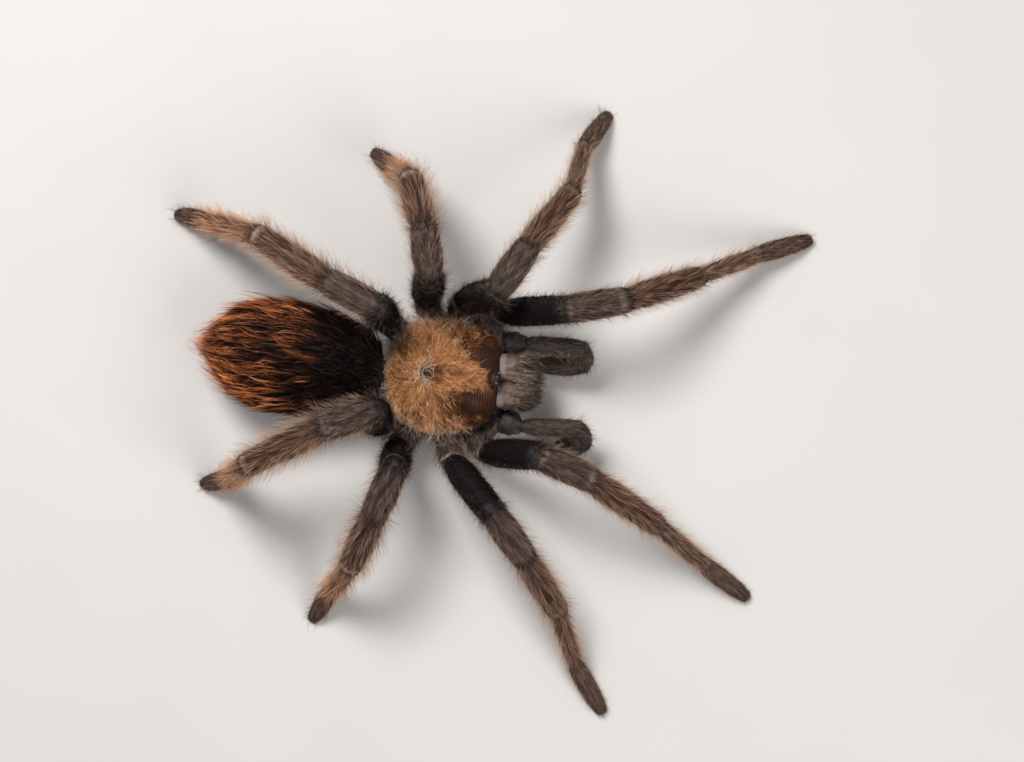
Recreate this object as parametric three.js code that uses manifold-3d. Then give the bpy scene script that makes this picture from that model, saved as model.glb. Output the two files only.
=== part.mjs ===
// A male brown tarantula standing on a flat floor, life size.
// Millimetres. +X points along the body to the head, +Y to the animal's left, +Z up.
// Every solid reaches out to the tips of the dense coat of hair that covers it.
import * as THREE from 'three';
import { mergeVertices } from 'three/addons/utils/BufferGeometryUtils.js';
import Module from 'manifold-3d';

const wasm = await Module();
wasm.setup();

// ---------------------------------------------------------------- driving dimensions
const GAP = 0.3; // clear space left between neighbouring pieces
const LEG_SIDES = 10; // facets round a leg
const BODY_SIDES = 18; // facets round the abdomen
const SHELL_SIDES = 24; // facets round the carapace and the sternum

const CARAPACE = {
  length: 16.6,
  width: 17.0,
  squareness: 2.6, // exponent of the outline, 2 is an ellipse
  frontNarrowing: 0.12, // share of the width lost towards the eyes
  bottom: 8.9, // height of the flat underside
  edge: 0.7, // thickness of the margin
  rise: 3.3, // height of the dome over the margin
  headRise: 0.8, // extra height of the head region
  fovea: { x: -2.8, y: 0.3, depth: 0.8 }, // the pit in the back of the shell
};
const EYE_MOUND = { x: 7.3, y: 0.1, top: 13.9, height: 2.4, halfLength: 0.8, halfWidth: 1.4 };
const STERNUM = { x: 0.1, halfLength: 4.1, halfWidth: 3.6, bottom: 4.6, top: 8.5 };

// Abdomen: places along the body, with half width, half height and height of the centre.
const ABDOMEN_SECTIONS = [
  { x: -5.0, y: 0, halfWidth: 0.9, halfHeight: 0.8, z: 7.2 },
  { x: -8.6, y: 0, halfWidth: 1.2, halfHeight: 1.1, z: 7.6 },
  { x: -9.3, y: 0, halfWidth: 4.3, halfHeight: 3.4, z: 8.4 },
  { x: -10.8, y: 0.1, halfWidth: 6.1, halfHeight: 4.9, z: 8.8 },
  { x: -14.5, y: 0.3, halfWidth: 7.6, halfHeight: 6.4, z: 9.2 },
  { x: -20.0, y: 0.6, halfWidth: 8.4, halfHeight: 7.2, z: 9.5 },
  { x: -25.0, y: 0.9, halfWidth: 8.6, halfHeight: 7.1, z: 9.4 },
  { x: -29.3, y: 1.1, halfWidth: 7.5, halfHeight: 6.1, z: 9.0 },
  { x: -32.2, y: 1.3, halfWidth: 5.5, halfHeight: 4.6, z: 8.5 },
  { x: -34.2, y: 1.4, halfWidth: 2.9, halfHeight: 2.5, z: 8.0 },
];
const ABDOMEN_TIP = { x: -34.9, y: 1.4, z: 7.8 };
const SPINNERET = { rootX: -31.4, tipX: -35.0, y: 1.4, spread: 1.25, rootZ: 4.8, tipZ: 4.2, radius: 0.6 };

// Chelicera: places along the jaw from under the shell to its rounded front.
const CHELICERA_SECTIONS = [
  { x: 8.45, halfWidth: 1.8, halfHeight: 2.7, z: 8.9 },
  { x: 9.4, halfWidth: 1.98, halfHeight: 3.0, z: 9.0 },
  { x: 11.6, halfWidth: 2.05, halfHeight: 3.1, z: 8.9 },
  { x: 13.5, halfWidth: 1.9, halfHeight: 2.8, z: 8.4 },
  { x: 14.7, halfWidth: 1.45, halfHeight: 2.0, z: 8.0 },
];
const CHELICERA_TIP = { x: 15.2, z: 7.8 };
const CHELICERA_OFFSET = 2.2; // centre of a jaw to the side of the middle line
const FANG = {
  path: [
    [13.6, 1.95, 5.35],
    [13.55, 1.9, 4.2],
    [12.7, 1.85, 3.2],
    [11.2, 1.75, 2.8],
    [9.6, 1.65, 3.1],
  ],
  radii: [0.62, 0.6, 0.5, 0.4, 0.26],
};

// Legs. Lengths are along each segment and the same left and right.
const LEG_LENGTHS = {
  1: { femur: 15.0, patella: 8.6, tibia: 14.1, metatarsus: 11.9, tarsus: 8.4 },
  2: { femur: 14.2, patella: 7.9, tibia: 12.4, metatarsus: 11.2, tarsus: 7.8 },
  3: { femur: 13.0, patella: 7.5, tibia: 9.8, metatarsus: 11.7, tarsus: 6.6 },
  4: { femur: 15.0, patella: 8.1, tibia: 13.0, metatarsus: 15.2, tarsus: 7.0 },
};
// Half widths at five even places along each segment, coat included.
const LEG_PROFILES = {
  femur: [1.7, 2.0, 2.1, 2.1, 1.95],
  patella: [1.95, 2.1, 2.15, 2.05, 1.8],
  tibia: [1.75, 2.0, 2.0, 1.85, 1.65],
  metatarsus: [1.55, 1.65, 1.6, 1.55, 1.45],
  tarsus: [1.45, 1.45, 1.4, 1.3, 1.1],
};
const FEMUR_DEPTH = 1.12; // a femur is deeper than it is wide
const COAT_SCALE = { 1: 1.0, 2: 1.0, 3: 1.06, 4: 1.06 }; // hind legs carry longer hair
const HIP_HEIGHT = 7.2;
const TROCHANTER_LENGTH = 2.2;
const ROOT_HEIGHT = 6.4;
// Half widths of a coxa at its root, its middle, its end and the hip, and depth over width there.
const COXA_HALF_WIDTHS = [0.8, 1.55, 1.85, 1.65];
const COXA_DEPTHS = [1.7, 1.15, 1, 1];
const SLANT_MARGIN = 0.04; // share of a segment kept clear past a slanted end
const TOE = { length: 1.2, height: 0.62, halfWidth: 1.1, halfHeight: 1.07, tip: 0.35 };

// Root of each coxa beside the sternum, on the left side. Right roots are their mirror image.
const LEG_ROOTS = { 1: [3.2, 3.55], 2: [1.3, 4.25], 3: [-1.3, 4.25], 4: [-3.5, 3.2] };

// The pose. hip is where the femur starts; yaw is the heading of each segment seen from above,
// counted from +X towards +Y; pitch is its slope, upwards positive. The tarsus has no pitch of
// its own: it slopes down to the floor from wherever the metatarsus ends.
const LEG_POSES = {
  left_leg_1: { pair: 1, hip: [7.3, 9.9], yaw: [6, 14, 23, 26, 20], pitch: [52, -9, -36, -30] },
  left_leg_2: { pair: 2, hip: [1.9, 11.1], yaw: [14, 60, 57, 79, 59], pitch: [71, -7, -32, -47] },
  left_leg_3: { pair: 3, hip: [-3.6, 11.2], yaw: [76, 101, 111, 149, 143], pitch: [79, 18, -39, -73] },
  left_leg_4: { pair: 4, hip: [-9.4, 7.7], yaw: [110, 157, 152, 167, 172], pitch: [86, -7, -17, -55] },
  right_leg_1: { pair: 1, hip: [7.2, -10.6], yaw: [5, -20, -30, -35, -32], pitch: [61, -18, -32, -33] },
  right_leg_2: { pair: 2, hip: [2.2, -12.2], yaw: [-45, -50, -54, -67, -54], pitch: [49, -12, -40, -33] },
  right_leg_3: { pair: 3, hip: [-5.8, -11.2], yaw: [-88, -108, -111, -123, -119], pitch: [79, -1, -35, -63] },
  right_leg_4: { pair: 4, hip: [-9.3, -7.8], yaw: [84, -157, -149, -140, -164], pitch: [82, 17, -21, -74] },
};

// Palps: short feelers beside the jaws, with four free segments after the trochanter.
const PALP_LENGTHS = [9.2, 4.4, 5.6, 2.9];
const PALP_PROFILES = {
  femur: [1.15, 1.3, 1.4, 1.5, 1.45],
  patella: [1.5, 1.6, 1.6, 1.55, 1.5],
  tibia: [1.5, 1.75, 1.8, 1.6, 1.3],
  tarsus: [1.15, 1.2, 1.15, 1.0, 0.7],
};
const MAXILLA_HALF_WIDTHS = [0.7, 1.15, 1.3, 1.1];
const MAXILLA_DEPTHS = [1.5, 1.25, 1, 1];
const PALP_SEGMENTS = ['femur', 'patella', 'tibia', 'tarsus'];
const PALP_POSES = {
  left_palp: {
    root: [4.6, 2.4, 6.0],
    knee: [8.7, 5.25, 6.3],
    hip: [10.9, 5.8, 7.2],
    yaw: [-1, -80, -172, -175],
    pitch: [17, -62, -27, -52],
  },
  right_palp: {
    root: [4.6, -2.4, 6.0],
    knee: [8.9, -5.55, 6.3],
    hip: [11.2, -6.4, 7.2],
    yaw: [4, -62, -150, -165],
    pitch: [17, -62, -47, -12],
  },
};

// ---------------------------------------------------------------- colours
const FINISHES = {
  shell: { color: 0x8a5a34, roughness: 0.75, metalness: 0 },
  velvet: { color: 0x17120f, roughness: 0.9, metalness: 0 },
  brown: { color: 0x40332c, roughness: 0.85, metalness: 0 },
  grey: { color: 0x6f625c, roughness: 0.85, metalness: 0 },
  rust: { color: 0x5a2a16, roughness: 0.9, metalness: 0 },
  jet: { color: 0x0d0b0b, roughness: 0.2, metalness: 0 },
};

const group = new THREE.Group();

function finish(name) {
  return new THREE.MeshStandardMaterial(FINISHES[name]);
}

function addPiece(name, geometry, finishName) {
  const mesh = new THREE.Mesh(geometry, finish(finishName));
  mesh.name = name;
  group.add(mesh);
}

// ---------------------------------------------------------------- lofting
function heading(yawDegrees, pitchDegrees) {
  const yaw = THREE.MathUtils.degToRad(yawDegrees);
  const pitch = THREE.MathUtils.degToRad(pitchDegrees);
  const flat = Math.cos(pitch);
  return new THREE.Vector3(flat * Math.cos(yaw), flat * Math.sin(yaw), Math.sin(pitch));
}

// The level direction to the left of something that heads along a vector.
function leftOf(direction) {
  return new THREE.Vector3(-direction.y, direction.x, 0).normalize();
}

// A closed ring of points: an ellipse in the plane that the normal stands on.
function ringAt({ at, normal, side, halfWidth, halfHeight }, sides) {
  const across = side.clone().addScaledVector(normal, -side.dot(normal)).normalize();
  const up = new THREE.Vector3().crossVectors(normal, across);
  const points = [];
  for (let k = 0; k < sides; k += 1) {
    const angle = (2 * Math.PI * k) / sides;
    const point = at.clone();
    point.addScaledVector(across, halfWidth * Math.cos(angle));
    point.addScaledVector(up, halfHeight * Math.sin(angle));
    points.push(point);
  }
  return points;
}

// Skins a row of rings and closes both ends with fans round the two end points.
function loftRings(rings, startPoint, endPoint) {
  const sides = rings[0].length;
  const last = rings.length - 1;
  const vertices = [startPoint, ...rings.flat(), endPoint];
  const endIndex = vertices.length - 1;
  const indexOf = (ring, k) => 1 + ring * sides + (k % sides);
  const faces = [];
  for (let k = 0; k < sides; k += 1) {
    faces.push(0, indexOf(0, k + 1), indexOf(0, k));
    for (let ring = 0; ring < last; ring += 1) {
      faces.push(indexOf(ring, k), indexOf(ring, k + 1), indexOf(ring + 1, k + 1));
      faces.push(indexOf(ring, k), indexOf(ring + 1, k + 1), indexOf(ring + 1, k));
    }
    faces.push(endIndex, indexOf(last, k), indexOf(last, k + 1));
  }
  const geometry = new THREE.BufferGeometry();
  const coordinates = vertices.flatMap((vertex) => vertex.toArray());
  geometry.setAttribute('position', new THREE.Float32BufferAttribute(coordinates, 3));
  geometry.setIndex(faces);
  return geometry;
}

function centreOf(points) {
  const sum = new THREE.Vector3();
  points.forEach((point) => sum.add(point));
  return sum.divideScalar(points.length);
}

function loftStations(stations, sides, endPoint = null) {
  const rings = stations.map((station) => ringAt(station, sides));
  return loftRings(rings, centreOf(rings[0]), endPoint ?? centreOf(rings.at(-1)));
}

// ---------------------------------------------------------------- cutting
function toSolid(geometry) {
  const bare = geometry.clone();
  bare.deleteAttribute('normal');
  bare.deleteAttribute('uv');
  const merged = mergeVertices(bare, 1e-4);
  return new wasm.Manifold(new wasm.Mesh({
    numProp: 3,
    vertProperties: new Float32Array(merged.attributes.position.array),
    triVerts: new Uint32Array(merged.index.array),
  }));
}

function cutBy(geometry, neighbour) {
  const mesh = toSolid(geometry).subtract(toSolid(neighbour)).getMesh();
  const result = new THREE.BufferGeometry();
  result.setAttribute('position', new THREE.Float32BufferAttribute(mesh.vertProperties, 3));
  result.setIndex(Array.from(mesh.triVerts));
  return result;
}

// ---------------------------------------------------------------- the front half of the body
// Half width of the shell's rounded square outline, at an angle counted from the head.
function shellOutline(angle, { length, width, squareness, frontNarrowing }) {
  const cosine = Math.cos(angle);
  const sine = Math.sin(angle);
  const halfWidth = (width / 2) * (1 - frontNarrowing * Math.max(0, cosine) ** 2);
  const along = Math.abs((2 * cosine) / length) ** squareness;
  const across = Math.abs(sine / halfWidth) ** squareness;
  const radius = (along + across) ** (-1 / squareness);
  return [radius * cosine, radius * sine];
}

function shellRing(share, height, size) {
  const { fovea } = size;
  const points = [];
  for (let k = 0; k < SHELL_SIDES; k += 1) {
    const angle = (2 * Math.PI * (k + 0.5)) / SHELL_SIDES;
    const [edgeX, edgeY] = shellOutline(angle, size);
    const x = fovea.x + share * (edgeX - fovea.x);
    const y = fovea.y + share * (edgeY - fovea.y);
    points.push(new THREE.Vector3(x, y, height(x, y, share, angle)));
  }
  return points;
}

// The dome is steep over the jaws and gentle at the sides and rear.
function domeHeight(x, y, share, angle) {
  const { bottom, edge, rise, headRise, length } = CARAPACE;
  const steepness = 2.1 + 5 * Math.max(0, Math.cos(angle)) ** 5;
  const head = headRise * Math.exp(-(((x - 0.25 * length) / 4) ** 2) - (y / 3.4) ** 2);
  return bottom + edge + (rise + head) * (1 - share ** steepness);
}

function buildCarapace() {
  const { bottom, edge, fovea } = CARAPACE;
  const rings = [
    shellRing(0.985, () => bottom, CARAPACE),
    shellRing(1, () => bottom + edge, CARAPACE),
    ...[0.93, 0.8, 0.6, 0.38, 0.16].map((share) => shellRing(share, domeHeight, CARAPACE)),
  ];
  const pitBottom = domeHeight(fovea.x, fovea.y, 0, Math.PI) - fovea.depth;
  const pit = new THREE.Vector3(fovea.x, fovea.y, pitBottom);
  return loftRings(rings, new THREE.Vector3(fovea.x, fovea.y, bottom), pit);
}

function buildEyeMound(grow) {
  const { x, y, top, height, halfLength, halfWidth } = EYE_MOUND;
  const side = new THREE.Vector3(1, 0, 0);
  const normal = new THREE.Vector3(0, 0, 1);
  const levels = [
    { rise: -grow, share: 1 },
    { rise: 0.72 * height, share: 1 },
    { rise: 0.92 * height, share: 0.72 },
  ];
  const stations = levels.map(({ rise, share }) => ({
    at: new THREE.Vector3(x, y, top - height + rise),
    normal,
    side,
    halfWidth: (halfLength + grow) * share,
    halfHeight: (halfWidth + grow) * share,
  }));
  return loftStations(stations, 16, new THREE.Vector3(x, y, top + grow));
}

function buildSternum() {
  const { x, halfLength, halfWidth, bottom, top } = STERNUM;
  const side = new THREE.Vector3(1, 0, 0);
  const normal = new THREE.Vector3(0, 0, 1);
  const levels = [
    { z: bottom + 0.15, share: 0.72 },
    { z: bottom + 0.7, share: 0.97 },
    { z: bottom + 1.4, share: 1 },
    { z: top, share: 1 },
  ];
  const stations = levels.map(({ z, share }) => ({
    at: new THREE.Vector3(x, 0, z),
    normal,
    side,
    halfWidth: halfLength * share,
    halfHeight: halfWidth * share,
  }));
  return loftStations(stations, SHELL_SIDES);
}

function buildChelicera(sign) {
  const y = sign * CHELICERA_OFFSET;
  const normal = new THREE.Vector3(1, 0, 0);
  const side = new THREE.Vector3(0, 1, 0);
  const stations = CHELICERA_SECTIONS.map(({ x, z, halfWidth, halfHeight }) => ({
    at: new THREE.Vector3(x, y, z),
    normal,
    side,
    halfWidth,
    halfHeight,
  }));
  return loftStations(stations, 12, new THREE.Vector3(CHELICERA_TIP.x, y, CHELICERA_TIP.z));
}

function buildFang(sign) {
  const points = FANG.path.map(([x, y, z]) => new THREE.Vector3(x, sign * y, z));
  const curve = new THREE.CatmullRomCurve3(points);
  const stations = FANG.radii.map((radius, index) => {
    const t = index / (FANG.radii.length - 1);
    return {
      at: curve.getPoint(t),
      normal: curve.getTangent(t),
      side: new THREE.Vector3(0, 1, 0),
      halfWidth: radius,
      halfHeight: radius,
    };
  });
  return loftStations(stations, 8);
}

// ---------------------------------------------------------------- the abdomen
function buildAbdomen(grow) {
  const normal = new THREE.Vector3(-1, 0, 0);
  const side = new THREE.Vector3(0, -1, 0);
  const stations = ABDOMEN_SECTIONS.map(({ x, y, z, halfWidth, halfHeight }) => ({
    at: new THREE.Vector3(x, y, z),
    normal,
    side,
    halfWidth: halfWidth + grow,
    halfHeight: halfHeight + grow,
  }));
  const tip = new THREE.Vector3(ABDOMEN_TIP.x - grow, ABDOMEN_TIP.y, ABDOMEN_TIP.z);
  return loftStations(stations, BODY_SIDES, tip);
}

function buildSpinneret(sign) {
  const { rootX, tipX, y, spread, rootZ, tipZ, radius } = SPINNERET;
  const root = new THREE.Vector3(rootX, y + sign * spread * 0.7, rootZ);
  const tip = new THREE.Vector3(tipX, y + sign * spread, tipZ);
  const normal = tip.clone().sub(root).normalize();
  const side = leftOf(normal);
  const stations = [[0, 1], [0.55, 1], [0.85, 0.85], [1, 0.5]].map(([share, thickness]) => ({
    at: root.clone().lerp(tip, share),
    normal,
    side,
    halfWidth: radius * thickness,
    halfHeight: radius * thickness,
  }));
  return cutBy(loftStations(stations, 8), buildAbdomen(GAP));
}

// ---------------------------------------------------------------- legs and palps
// The part of a side direction that is square to where a segment heads.
function squaredTo(side, direction) {
  return side.clone().addScaledVector(direction, -side.dot(direction)).normalize();
}

// Side directions of a row of segments, carried along from one of them so that nothing twists.
function carriedSides(directions, from) {
  const sides = [];
  sides[from] = leftOf(directions[from]);
  for (let index = from - 1; index >= 0; index -= 1) {
    sides[index] = squaredTo(sides[index + 1], directions[index]);
  }
  for (let index = from + 1; index < directions.length; index += 1) {
    sides[index] = squaredTo(sides[index - 1], directions[index]);
  }
  return sides;
}

// A joint is a place with the plane that both neighbouring segments are cut on.
function jointBetween(at, before, after, sideBefore, sideAfter) {
  const normal = before.clone().add(after).normalize();
  const side = sideBefore.clone().add(sideAfter).normalize();
  return { at, normal, side };
}

// How much of a segment's length its slanted end plane takes up on the inside of the bend.
function slantShare(joint, along, halfWidth, length) {
  return (halfWidth * Math.tan(joint.normal.angleTo(along))) / length + SLANT_MARGIN;
}

// Five stations along one segment; its two ends lie on the joints' planes, half a gap apart.
function segmentStations(start, end, side, profile, depth) {
  const span = end.at.clone().sub(start.at);
  const length = span.length();
  const along = span.normalize();
  const firstShare = Math.max(0.25, slantShare(start, along, profile[0] * depth, length));
  const lastShare = Math.max(0.25, slantShare(end, along, profile.at(-1) * depth, length));
  const shares = [GAP / 2 / length, firstShare, 0.5, 1 - lastShare, 1 - GAP / 2 / length];
  const joints = [start, null, null, null, end];
  return profile.map((halfWidth, index) => ({
    at: start.at.clone().lerp(end.at, shares[index]),
    normal: joints[index] ? joints[index].normal : along,
    side: joints[index] ? joints[index].side : side,
    halfWidth,
    halfHeight: halfWidth * depth,
  }));
}

function scaled(profile, factor) {
  return profile.map((value) => value * factor);
}

// The joints of a leg from the hip to the start of the tarsus.
function legPoints(hip, lengths, yaw, pitch) {
  const points = [hip];
  lengths.forEach((length, index) => {
    points.push(points[index].clone().addScaledVector(heading(yaw[index], pitch[index]), length));
  });
  return points;
}

// The joints between the segments of a leg or palp, from the hip outwards.
function jointsAlong(points, directions, sides, hipJoint) {
  const joints = [hipJoint];
  for (let index = 1; index < directions.length; index += 1) {
    const [before, after] = [directions[index - 1], directions[index]];
    joints.push(jointBetween(points[index], before, after, sides[index - 1], sides[index]));
  }
  return joints;
}

// The coxa and the trochanter in one piece, from beside the sternum to the hip.
function buildCoxa(root, knee, hipJoint, widths, depths) {
  const inward = knee.clone().sub(root).normalize();
  const outward = hipJoint.at.clone().sub(knee).normalize();
  const side = leftOf(inward);
  const bend = jointBetween(knee, inward, outward, side, hipJoint.side);
  const places = [
    { at: root, normal: inward, side },
    { at: root.clone().lerp(knee, 0.55), normal: inward, side },
    bend,
    { ...hipJoint, at: hipJoint.at.clone().addScaledVector(outward, -GAP / 2) },
  ];
  const stations = places.map((place, index) => ({
    ...place,
    halfWidth: widths[index],
    halfHeight: widths[index] * depths[index],
  }));
  return loftStations(stations, LEG_SIDES);
}

// The metatarsus and tarsus in one piece, ending in a pad that is flat on the floor.
function buildFoot(ankle, start, shinSide, tarsusYaw, lengths, coat) {
  const drop = start.z - TOE.height;
  const slope = -THREE.MathUtils.radToDeg(Math.asin(drop / (lengths.tarsus - TOE.length)));
  const down = heading(tarsusYaw, slope);
  const level = heading(tarsusYaw, 0);
  const levelSide = leftOf(level);
  const heel = start.clone().addScaledVector(down, lengths.tarsus - TOE.length);
  const shin = start.clone().sub(ankle.at).normalize();
  const bend = jointBetween(start, shin, down, shinSide, levelSide);
  const shinStations = segmentStations(ankle, bend, shinSide, scaled(LEG_PROFILES.metatarsus, coat), 1);
  const padStart = { at: heel, normal: level, side: levelSide };
  const soleStations = segmentStations(bend, padStart, levelSide, LEG_PROFILES.tarsus, 1);
  const pad = { ...padStart, halfWidth: TOE.halfWidth, halfHeight: TOE.halfHeight };
  const front = heel.clone().addScaledVector(level, TOE.length - TOE.tip);
  const toe = { ...pad, at: front, halfWidth: 0.85 * TOE.halfWidth };
  const stations = [...shinStations.slice(0, -1), bendStation(bend), ...soleStations.slice(1, -1), pad, toe];
  const rings = stations.map((station) => ringAt(station, LEG_SIDES));
  rings.flat().forEach((point) => point.setZ(Math.max(point.z, 0)));
  const tip = heel.clone().addScaledVector(level, TOE.length);
  return loftRings(rings, centreOf(rings[0]), tip);
}

function bendStation(bend) {
  const halfWidth = LEG_PROFILES.tarsus[0];
  return { ...bend, halfWidth, halfHeight: halfWidth };
}

function buildLeg(name, { pair, hip: [hipX, hipY], yaw, pitch }) {
  const lengths = LEG_LENGTHS[pair];
  const coat = COAT_SCALE[pair];
  const hip = new THREE.Vector3(hipX, hipY, HIP_HEIGHT);
  const long = [lengths.femur, lengths.patella, lengths.tibia, lengths.metatarsus];
  const points = legPoints(hip, long, yaw, pitch);
  const directions = long.map((_, index) => heading(yaw[index], pitch[index]));
  const sides = carriedSides(directions, 1);

  const [rootX, rootY] = LEG_ROOTS[pair];
  const root = new THREE.Vector3(rootX, Math.sign(hipY) * rootY, ROOT_HEIGHT);
  const outward = hip.clone().sub(root).setZ(0).normalize();
  const trochanter = outward.clone().add(directions[0]).normalize();
  const knee = hip.clone().addScaledVector(trochanter, -TROCHANTER_LENGTH);
  const hipJoint = jointBetween(hip, trochanter, directions[0], squaredTo(sides[0], trochanter), sides[0]);
  addPiece(`${name}_coxa`, buildCoxa(root, knee, hipJoint, COXA_HALF_WIDTHS, COXA_DEPTHS), 'grey');

  const joints = jointsAlong(points, directions, sides, hipJoint);
  const pieces = [
    { part: 'femur', finishName: 'velvet', depth: FEMUR_DEPTH, factor: 1 },
    { part: 'patella', finishName: 'brown', depth: 1, factor: 1 },
    { part: 'tibia', finishName: 'brown', depth: 1, factor: coat },
  ];
  pieces.forEach(({ part, finishName, depth, factor }, index) => {
    const profile = scaled(LEG_PROFILES[part], factor);
    const stations = segmentStations(joints[index], joints[index + 1], sides[index], profile, depth);
    addPiece(`${name}_${part}`, loftStations(stations, LEG_SIDES), finishName);
  });
  addPiece(`${name}_foot`, buildFoot(joints[3], points[4], sides[3], yaw[4], lengths, coat), 'brown');
}

function buildPalp(name, { root, knee, hip, yaw, pitch }) {
  const points = legPoints(new THREE.Vector3(...hip), PALP_LENGTHS, yaw, pitch);
  const directions = PALP_LENGTHS.map((_, index) => heading(yaw[index], pitch[index]));
  const sides = carriedSides(directions, 0);
  const kneePoint = new THREE.Vector3(...knee);
  const trochanter = points[0].clone().sub(kneePoint).normalize();
  const hipJoint = jointBetween(points[0], trochanter, directions[0], leftOf(trochanter), sides[0]);
  const rootPoint = new THREE.Vector3(...root);
  const coxa = buildCoxa(rootPoint, kneePoint, hipJoint, MAXILLA_HALF_WIDTHS, MAXILLA_DEPTHS);
  addPiece(`${name}_coxa`, coxa, 'grey');

  const joints = jointsAlong(points, directions, sides, hipJoint);
  joints.push({ at: points.at(-1), normal: directions.at(-1), side: sides.at(-1) });
  PALP_SEGMENTS.forEach((part, index) => {
    const stations = segmentStations(joints[index], joints[index + 1], sides[index], PALP_PROFILES[part], 1);
    addPiece(`${name}_${part}`, loftStations(stations, LEG_SIDES), part === 'femur' ? 'velvet' : 'brown');
  });
}

// ---------------------------------------------------------------- the whole animal
addPiece('carapace', cutBy(buildCarapace(), buildEyeMound(GAP)), 'shell');
addPiece('eye_mound', buildEyeMound(0), 'jet');
addPiece('sternum', buildSternum(), 'velvet');
addPiece('abdomen', buildAbdomen(0), 'rust');
for (const [sideName, sign] of [['left', 1], ['right', -1]]) {
  addPiece(`${sideName}_chelicera`, buildChelicera(sign), 'grey');
  addPiece(`${sideName}_fang`, buildFang(sign), 'jet');
  addPiece(`${sideName}_spinneret`, buildSpinneret(sign), 'brown');
}
Object.entries(LEG_POSES).forEach(([name, pose]) => buildLeg(name, pose));
Object.entries(PALP_POSES).forEach(([name, pose]) => buildPalp(name, pose));

// The origin is on the floor under the middle of the animal's box.
const bounds = new THREE.Box3().setFromObject(group);
const middle = bounds.getCenter(new THREE.Vector3());
group.position.set(-middle.x, -middle.y, -bounds.min.z);

export default group;
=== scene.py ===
"""Looks for a life-size male brown tarantula: one skin, a shell, eyes, fangs and a coat of hair.

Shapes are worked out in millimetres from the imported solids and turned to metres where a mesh
is made. +X points along the body to the head, +Y to the animal's left and +Z up.
"""

import logging
import math
from collections.abc import Callable
from dataclasses import dataclass, field, replace
from enum import Enum

import bmesh
import bpy
import numpy as np
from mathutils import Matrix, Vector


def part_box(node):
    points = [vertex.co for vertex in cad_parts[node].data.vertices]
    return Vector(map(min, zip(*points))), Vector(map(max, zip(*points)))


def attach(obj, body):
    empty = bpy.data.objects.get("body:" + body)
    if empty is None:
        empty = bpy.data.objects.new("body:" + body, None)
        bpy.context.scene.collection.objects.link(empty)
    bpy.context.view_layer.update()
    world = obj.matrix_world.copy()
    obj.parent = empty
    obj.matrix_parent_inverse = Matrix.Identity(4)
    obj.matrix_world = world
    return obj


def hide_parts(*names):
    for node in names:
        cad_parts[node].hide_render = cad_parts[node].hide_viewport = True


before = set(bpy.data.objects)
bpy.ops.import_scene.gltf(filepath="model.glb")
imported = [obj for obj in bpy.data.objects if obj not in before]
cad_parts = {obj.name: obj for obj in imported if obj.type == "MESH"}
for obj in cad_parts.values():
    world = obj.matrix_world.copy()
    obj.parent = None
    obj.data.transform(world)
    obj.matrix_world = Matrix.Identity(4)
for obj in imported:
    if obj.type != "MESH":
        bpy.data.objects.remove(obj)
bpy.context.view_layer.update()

log = logging.getLogger("tarantula")

MM = 0.001
MIDLINE = float(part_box("left_chelicera")[0][1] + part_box("right_chelicera")[1][1]) / 2 / MM
FULL_TURN = 2 * math.pi
DORSAL = math.pi / 2  # angle round a limb that faces up
COLOUR_LAYER = "marking"
BALD_LAYER = "bald"
BAKE_MAP = "OFBake"
TUFT_PATCH = 0.0015  # half the width of a tuft's patch on the bake map
FLOOR_CLEARANCE = 0.02  # mm between the lowest hair and the floor
WAVE_BAND = 0.314  # width of a band of the wave texture at scale 1

Array = np.ndarray
Piece = bpy.types.Object
Material = bpy.types.Material
Socket = bpy.types.NodeSocket
Marker = Callable[[Array, Array, Array], Array]


# ------ colour and number helpers
def linear(hex_colour: str) -> tuple[float, float, float]:
    """Turns an sRGB hex colour to linear light.

    Args:
        hex_colour: Six hex digits after a hash sign.

    Returns:
        Red, green and blue, each 0 to 1.
    """
    values = [int(hex_colour[i : i + 2], 16) / 255 for i in (1, 3, 5)]
    return tuple(v / 12.92 if v <= 0.04045 else ((v + 0.055) / 1.055) ** 2.4 for v in values)


def blend(first: Array, second: Array, share: Array) -> Array:
    """Mixes two rows of colours or points.

    Args:
        first: Values where the share is 0.
        second: Values where the share is 1.
        share: One share for each row.

    Returns:
        The mixed rows.
    """
    return first + (second - first) * np.asarray(share)[:, None]


def ramp(values: Array, low: float, high: float) -> Array:
    """Rises smoothly from 0 at one value to 1 at another.

    Args:
        values: Where the ramp is read.
        low: Value at which it leaves 0.
        high: Value at which it reaches 1.

    Returns:
        The ramp at each value.
    """
    share = np.clip((values - low) / (high - low), 0, 1)
    return share * share * (3 - 2 * share)


def bump(values: Array, centre: float, width: float) -> Array:
    """Returns a bell curve of height 1 about a centre, as wide as the width says."""
    return np.exp(-(((values - centre) / width) ** 2))


def unit(vectors: Array) -> Array:
    """Returns the vectors scaled to length 1."""
    return vectors / np.maximum(np.linalg.norm(vectors, axis=-1, keepdims=True), 1e-9)


def turned(angles: Array, about: float) -> Array:
    """Returns how far angles lie from another angle, between minus and plus half a turn."""
    return (angles - about + math.pi) % FULL_TURN - math.pi


def mottle(points: Array, size: float, seed: int) -> Array:
    """Makes soft blotches that run through space.

    Args:
        points: Places in millimetres, one a row.
        size: Rough width of a blotch in millimetres.
        seed: Picks the pattern.

    Returns:
        The blotches' strength at each place, 0 to 1.
    """
    rng = np.random.default_rng(seed)
    total = np.zeros(len(points))
    for strength, fineness in ((1.0, 1.0), (0.6, 2.1)):
        waves = unit(rng.normal(size=(7, 3))).T * (math.pi * fineness / size)
        total += strength * np.sin(points @ waves + rng.uniform(0, FULL_TURN, 7)).sum(axis=1)
    return np.clip(0.5 + total / 8, 0, 1)


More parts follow.
